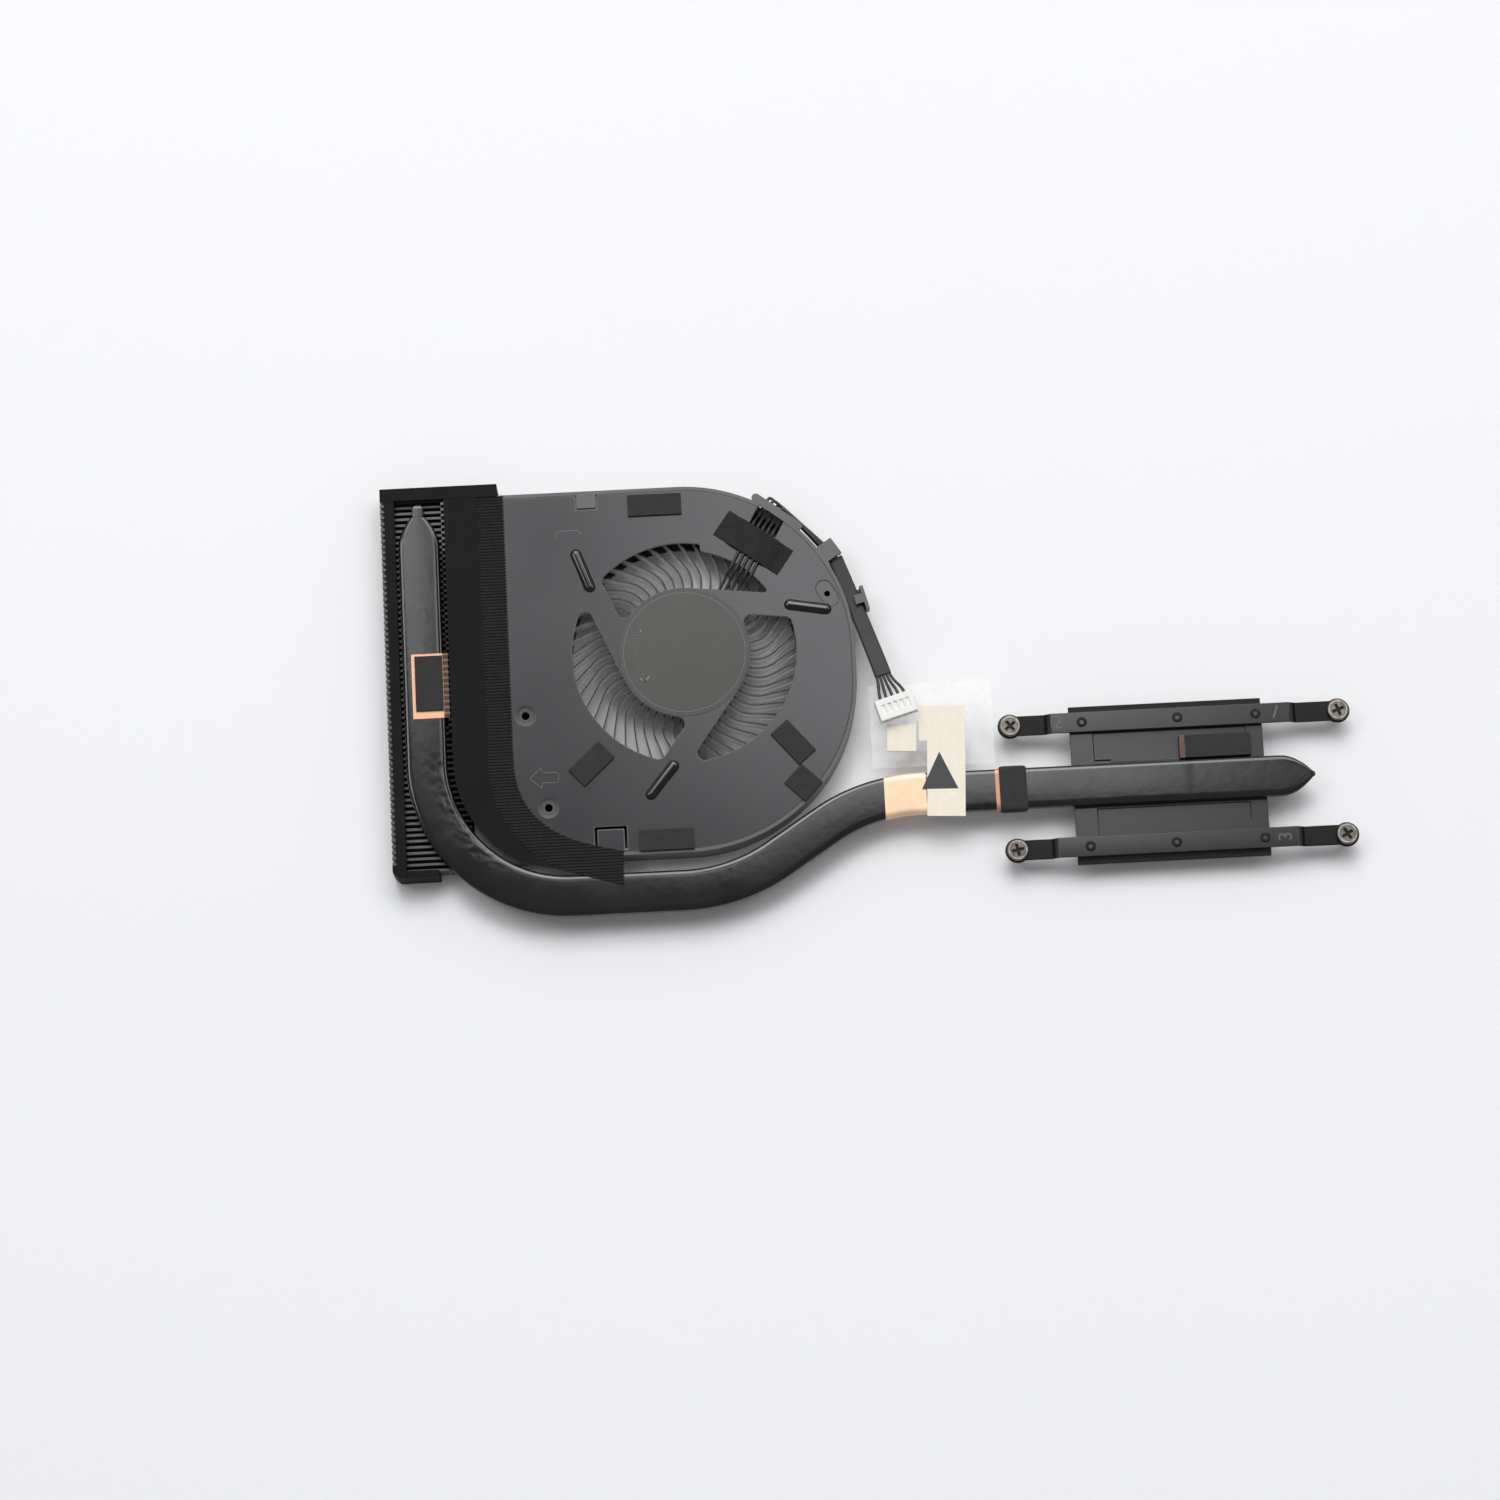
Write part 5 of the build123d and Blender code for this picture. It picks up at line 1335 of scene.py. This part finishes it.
def screw_profile():
    dish = HEAD_HIGH - HEAD_DISH
    profile = [
        (0, dish),
        (HEAD_RADIUS - 2.2 * HEAD_CHAMFER, dish),
        (HEAD_RADIUS - 1.8 * HEAD_CHAMFER, HEAD_HIGH),
        (HEAD_RADIUS - HEAD_CHAMFER, HEAD_HIGH),
        (HEAD_RADIUS - 0.08, HEAD_HIGH - 0.12),
        (HEAD_RADIUS, HEAD_HIGH - HEAD_CHAMFER),
        (HEAD_RADIUS, HEAD_LOW + 0.1),
        (HEAD_RADIUS - 0.1, HEAD_LOW),
        (NECK_RADIUS, HEAD_LOW),
        (NECK_RADIUS, THREAD_TOP),
    ]
    for turn in range(int((THREAD_TOP - THREAD_END) / THREAD_PITCH)):
        z = THREAD_TOP - turn * THREAD_PITCH
        profile += [(radius, z - drop) for radius, drop in THREAD_RIDGE]
    return profile + [(THREAD_ROOT, THREAD_END + 0.1), (THREAD_ROOT - 0.2, THREAD_END), (0, THREAD_END)]


def cross_cutter():
    form = bmesh.new()
    half, narrow = RECESS_SPAN / 2, RECESS_WIDTH / 2
    arm = [Vector((narrow, -narrow)), Vector((half, -narrow)), Vector((half, narrow))]
    corners = []
    for quarter in range(4):
        spin = Matrix.Rotation(math.pi / 2 * quarter, 2)
        corners += [spin @ corner for corner in arm]
    low = HEAD_HIGH - RECESS_DEPTH
    prism(form, [(*corner, low) for corner in corners], (0, 0, RECESS_DEPTH + 1))
    return mesh_from(form, "cross")


def recessed_screw():
    holder = holder_of(turned(screw_profile(), SCREW_SEGMENTS, "screw"), "screw")
    cutter = holder_of(cross_cutter(), "cross")
    cut = holder.modifiers.new("Cross", "BOOLEAN")
    cut.operation = "DIFFERENCE"
    cut.object = cutter
    mesh = evaluated(holder)
    bpy.data.objects.remove(cutter)
    mesh.set_sharp_from_angle(angle=EDGE_ANGLE)
    return mesh

# %% Screws and rings in their places
SCREW_TURNS = (38.0, 20.0, 12.0, 30.0)
RING_EDGE = 0.08


def placing_tree():
    tree, given = new_tree("Piece at its place", Place="Vector", Turn="Float")
    spot = add_node(tree, "GeometryNodePoints", Count=1, Position=given["Place"]).outputs[0]
    turn = on_axis("Z", given["Turn"])
    return finish_tree(given, on_points(spot, given["Geometry"], Rotation=turn))


AT_ITS_PLACE = placing_tree()
nickel = FINISHES["screw_nickel"]
screw = recessed_screw()
for number, degrees in enumerate(SCREW_TURNS, 1):
    low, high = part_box(f"captive_screw_{number}")
    spot = ((low.x + high.x) / 2, (low.y + high.y) / 2, 0.0)
    name = f"turned_screw_{number}"
    mesh = grown(screw, AT_ITS_PLACE, name, Place=spot, Turn=math.radians(degrees), Finish=nickel)
    keep(name, mesh, "screw_nickel", [f"captive_screw_{number}"], f"screw_{number}")
    dressed(f"retaining_ring_{number}", RING_EDGE)

# %% [markdown]
# ## Rivets and stamped numbers
# Six rivets hold the arms to the rails. Each shows as a ring round a dimple. A tree sets one rivet on
# six points. The arms also carry plain stamped numbers, the order in which the screws are tightened,
# drawn as pale lines of painted highlight.

# %% Rivets
RIVET_X = {"spring_arm_back": (-16.8, 2.3, 17.95), "spring_arm_front": (-16.65, 0.5, 18.1)}
RIVET_SEGMENTS = 28
RIVET_PROFILE = (
    (0.0, 0.02),
    (0.42, 0.02),
    (0.52, 0.14),
    (0.78, 0.16),
    (0.98, 0.12),
    (1.06, 0.0),
    (1.06, -0.1),
    (0.0, -0.1),
)


def rivet_tree():
    tree, given = new_tree("Rivets", Rivet="Object")
    shape = add_node(tree, "GeometryNodeObjectInfo", Object=given["Rivet"])
    return finish_tree(given, on_points(given["Geometry"], shape.outputs["Geometry"]))


def rivet_points():
    form = bmesh.new()
    for node, row in RIVET_X.items():
        low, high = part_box(node)
        for x in row:
            form.verts.new((x * MM, (low.y + high.y) / 2, ARM_TOP))
    return mesh_from(form, "rivet points")


rivet = holder_of(turned(RIVET_PROFILE, RIVET_SEGMENTS, "rivet"), "rivet")
rivets = grown(rivet_points(), rivet_tree(), "rivets", Rivet=rivet, Finish=RIVET_PAINT)
bpy.data.objects.remove(rivet)
keep("arm_rivets", rivets, "black_steel")

# %% Stamped numbers
NUMBER_HEIGHT = 2.9
FONT_SIZE_PER_HEIGHT = 1.35
NUMBER_LIFT = 0.05
NUMBER_ROUND = 0.02
NUMBERS = (("2", -21.6, 12.6, 0.0), ("1", 21.9, 12.6, -20.0), ("3", 22.2, -12.6, 90.0))


def number_mesh(text, x, y, degrees):
    face = bpy.data.curves.new("number", "FONT")
    face.body = text
    face.size = NUMBER_HEIGHT * FONT_SIZE_PER_HEIGHT * MM
    face.align_x = "CENTER"
    face.align_y = "CENTER"
    face.extrude = NUMBER_LIFT * MM / 2
    face.bevel_depth = NUMBER_ROUND * MM
    mesh = evaluated(holder_of(face, "number"))
    place = Matrix.Translation((x * MM, y * MM, ARM_TOP + NUMBER_LIFT * MM / 2))
    mesh.transform(place @ Matrix.Rotation(math.radians(degrees), 4, "Z"))
    return mesh


numbers = joined([number_mesh(*number) for number in NUMBERS], "numbers")
keep("stamped_numbers", numbers, "black_steel", finish=PRESSED_LINE_HIGHLIGHT)

# %% [markdown]
# ## Pressed ribs
# Three ribs stiffen the motor plate. The press draws the sheet in softly round each one, so the rib
# that the light shows is a little longer and wider than the solid's, with a rounded crest in glossy
# paint.

# %% Three ribs round the hub
RIBS = 3
RIB_CENTRE = Vector((-19.55, 17.75))
RIB_SLANT = math.radians(110.0)
RIB_HALF_WIDTH = 1.15
RIB_STRAIGHT = 3.65
RIB_HEIGHT = 0.55
RIB_SUNK = 0.02
RIB_CREST = 0.03
RIB_RINGS = 8
RIB_END_STEPS = 10


def rib_ring(radius, z):
    """A long round outline about the rib's middle line."""
    way = Vector((math.cos(RIB_SLANT), math.sin(RIB_SLANT)))
    side = Vector((-way.y, way.x))
    points = []
    for end in (1, -1):
        for turn in half_turns(RIB_END_STEPS):
            along = end * (RIB_STRAIGHT + radius * math.cos(turn))
            spot = RIB_CENTRE + way * along + side * end * radius * math.sin(turn)
            points.append((*spot * MM, PLATE_TOP + z * MM))
    return points


def rib_mesh():
    rises = [math.pi / 2 * step / RIB_RINGS for step in range(RIB_RINGS + 1)]
    sizes = [(max(RIB_CREST, math.cos(rise)), math.sin(rise)) for rise in rises]
    rings = [rib_ring(RIB_HALF_WIDTH * out, RIB_HEIGHT * up - RIB_SUNK) for out, up in sizes]
    return skin(rings, "rib")


# The plate's finish paints the ribs near black: painted shade.
ribs = grown(rib_mesh(), ROUND_THE_AXIS, "ribs", Count=RIBS, Finish=FINISHES["fan_plate"])
ribs.transform(Matrix.Translation(HUB))
keep("pressed_ribs", ribs, "fan_plate")

# %% [markdown]
# ## Marks on the plate, the hub and the paper
# The plate has a pressed arrow for the way of the air and a pressed bracket, drawn as pale lines of
# painted highlight. The hub's label carries a plain ring and an arrow for the way it turns. The paper
# has a printed triangle that points at the connector.

# %% Marks
STROKE = 0.16
PRESSED_HEIGHT = 0.015
INK_HEIGHT = 0.012
ARROW = ((-31.9, -24.2), (-29.5, -22.1), (-29.5, -23.1), (-26.2, -23.3))
ARROW += ((-26.2, -25.3), (-29.5, -25.2), (-29.5, -26.3))
BRACKET = ((-24.7, 24.9), (-24.5, 26.15), (-20.0, 26.15), (-19.7, 25.3))
RING_RADIUS = 12.2
RING_STROKE = 0.1
TURN_RADIUS = 9.8
TURN_STROKE = 0.3
TURN_HEAD = ((-9.0, -5.0), (-8.03, -5.62), (-7.3, -4.7))


def stroke(form, points, width, closed, low, height):
    """A line of even width along points, as low bars whose ends overlap. Millimetres from the hub."""
    for start, end in zip(points, points[1:] + (points[:1] if closed else ())):
        start, end = Vector(start), Vector(end)
        way = (end - start).normalized() * width / 2
        side = Vector((-way.y, way.x))
        corners = [start - way + side, end + way + side, end + way - side, start - way - side]
        prism(form, [(*corner, low) for corner in corners], (0, 0, height))


def arc_points(radius, first, last, steps):
    turns = [math.radians(first + (last - first) * step / steps) for step in range(steps + 1)]
    return tuple((radius * math.cos(turn), radius * math.sin(turn)) for turn in turns)


def keep_marks(name, strokes, low, height, slot, finish):
    """Strokes on a flat face, each with its width and whether it closes."""
    form = bmesh.new()
    for points, width, closed in strokes:
        stroke(form, points, width, closed, low, height)
    mesh = mesh_from(form, name)
    mesh.transform(Matrix.Translation(HUB))
    keep(name, mesh, slot, finish=finish)


plate_marks = [(ARROW, STROKE, True), (BRACKET, STROKE, False)]
keep_marks("plate_arrow", plate_marks, PLATE_TOP / MM, PRESSED_HEIGHT, "fan_plate", PRESSED_LINE_HIGHLIGHT)
label_marks = [
    (arc_points(RING_RADIUS, 0, 355, 71), RING_STROKE, True),
    (arc_points(TURN_RADIUS, 150, 215, 16), TURN_STROKE, False),
    (TURN_HEAD, TURN_STROKE, False),
]
label_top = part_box("hub_label")[1].z / MM
keep_marks("label_print", label_marks, label_top, INK_HEIGHT, "label_film", LABEL_PRINT)

# %% Printed triangle
TRIANGLE = ((49.7, -22.9), (45.87, -30.3), (53.1, -30.55))
paper_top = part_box("paper_label")[1].z / MM
form = bmesh.new()
prism(form, [(*corner, paper_top) for corner in TRIANGLE], (0, 0, INK_HEIGHT))
triangle = mesh_from(form, "triangle")
triangle.transform(Matrix.Translation(HUB))
keep("printed_triangle", triangle, "paper", finish=PRINTED_GREY)

# %% [markdown]
# ## Floor and light
# A white table in a room with soft light. Flat dark paint mirrors the sky a little behind the zenith,
# so the world has two soft bright windows there: their front edge is what makes the paint bright at
# the back and nearly black at the front. Three larger lights behind and beside the module draw the
# soft shadow on the table and the light lines along the pipe's edges.

# %% Table
TABLE_SIZE = 3.0
TABLE_DROP = 0.05 * MM
form = bmesh.new()
bmesh.ops.create_grid(form, x_segments=4, y_segments=4, size=TABLE_SIZE / 2)
bmesh.ops.translate(form, verts=form.verts, vec=(0, 0, FAN_BASE - TABLE_DROP))
table = holder_of(mesh_from(form, "table"), "table")
WHITES = ((0.86, 0.86, 0.87), (0.89, 0.89, 0.9))
table.data.materials.append(clouded_finish("White table", WHITES, (0.55, 0.0, 0.3), (3, 3)))

# %% Lights
AIM = Vector((-0.06, 0.02, 0.0))
SOFT_BOXES = {
    "back": ((0.0, 0.85, 1.3), (1.1, 0.7), 10.0),
    "left": ((-0.75, 0.3, 1.15), (0.4, 0.4), 2.2),
    "right": ((0.65, 0.35, 1.15), (0.4, 0.4), 1.8),
}
for name, (place, size, power) in SOFT_BOXES.items():
    light = bpy.data.lights.new(name, "AREA")
    light.shape = "RECTANGLE"
    light.size, light.size_y = size
    light.energy = power
    lamp = holder_of(light, name)
    lamp.location = place
    lamp.rotation_euler = (AIM - lamp.location).to_track_quat("-Z", "Y").to_euler()
print("soft boxes:", len(SOFT_BOXES))

# %% World
WINDOW_LEVEL = 3.2
LEFT_SHARE = 0.95
FRONT_EDGE = (0.17, 0.225)
BACK_EDGE = (0.75, 1.15)
RIGHT_WINDOW = ((-0.06, 0.02), (0.07, 0.16))
LEFT_WINDOW = ((-0.45, -0.25), (-0.07, -0.035))
WINDOW_SLANT = 0.245
LEAST_HEIGHT = 0.05
SKY_RISE = (0.25, 0.9)
SKY_LEVELS = (0.28, 0.9)
SKY_COLOUR = (0.97, 0.98, 1.0, 1.0)


def soft_band(place, rise, fall):
    """1 between two soft edges and 0 outside them."""
    smooth = {"interpolation_type": "SMOOTHSTEP"}
    edges = []
    for low, high in (rise, fall):
        made = add_node(place.id_data, "ShaderNodeMapRange", smooth, Value=place)
        set_inputs(made, From_Min=low, From_Max=high)
        edges.append(made.outputs["Result"])
    return maths("SUBTRACT", *edges)


def surrounding():
    world = bpy.data.worlds.new("Surrounding")
    bpy.context.scene.world = world
    world.use_nodes = True
    nodes = world.node_tree.nodes
    way = axes(nodes.new("ShaderNodeTexCoord").outputs["Generated"])
    height = maths("MAXIMUM", way["Z"], LEAST_HEIGHT)
    across = maths("DIVIDE", way["X"], height)
    behind = maths("DIVIDE", way["Y"], height)
    slanted = maths("ADD", behind, maths("MULTIPLY", across, WINDOW_SLANT))
    left = maths("MULTIPLY", soft_band(across, *LEFT_WINDOW), LEFT_SHARE)
    both = maths("ADD", left, soft_band(across, *RIGHT_WINDOW))
    windows = maths("MULTIPLY", both, soft_band(slanted, FRONT_EDGE, BACK_EDGE))
    sky = between(way["Y"], *SKY_RISE, *SKY_LEVELS)
    strength = maths("ADD", sky, maths("MULTIPLY", windows, WINDOW_LEVEL))
    set_inputs(nodes["Background"], Strength=strength, Color=SKY_COLOUR)


surrounding()
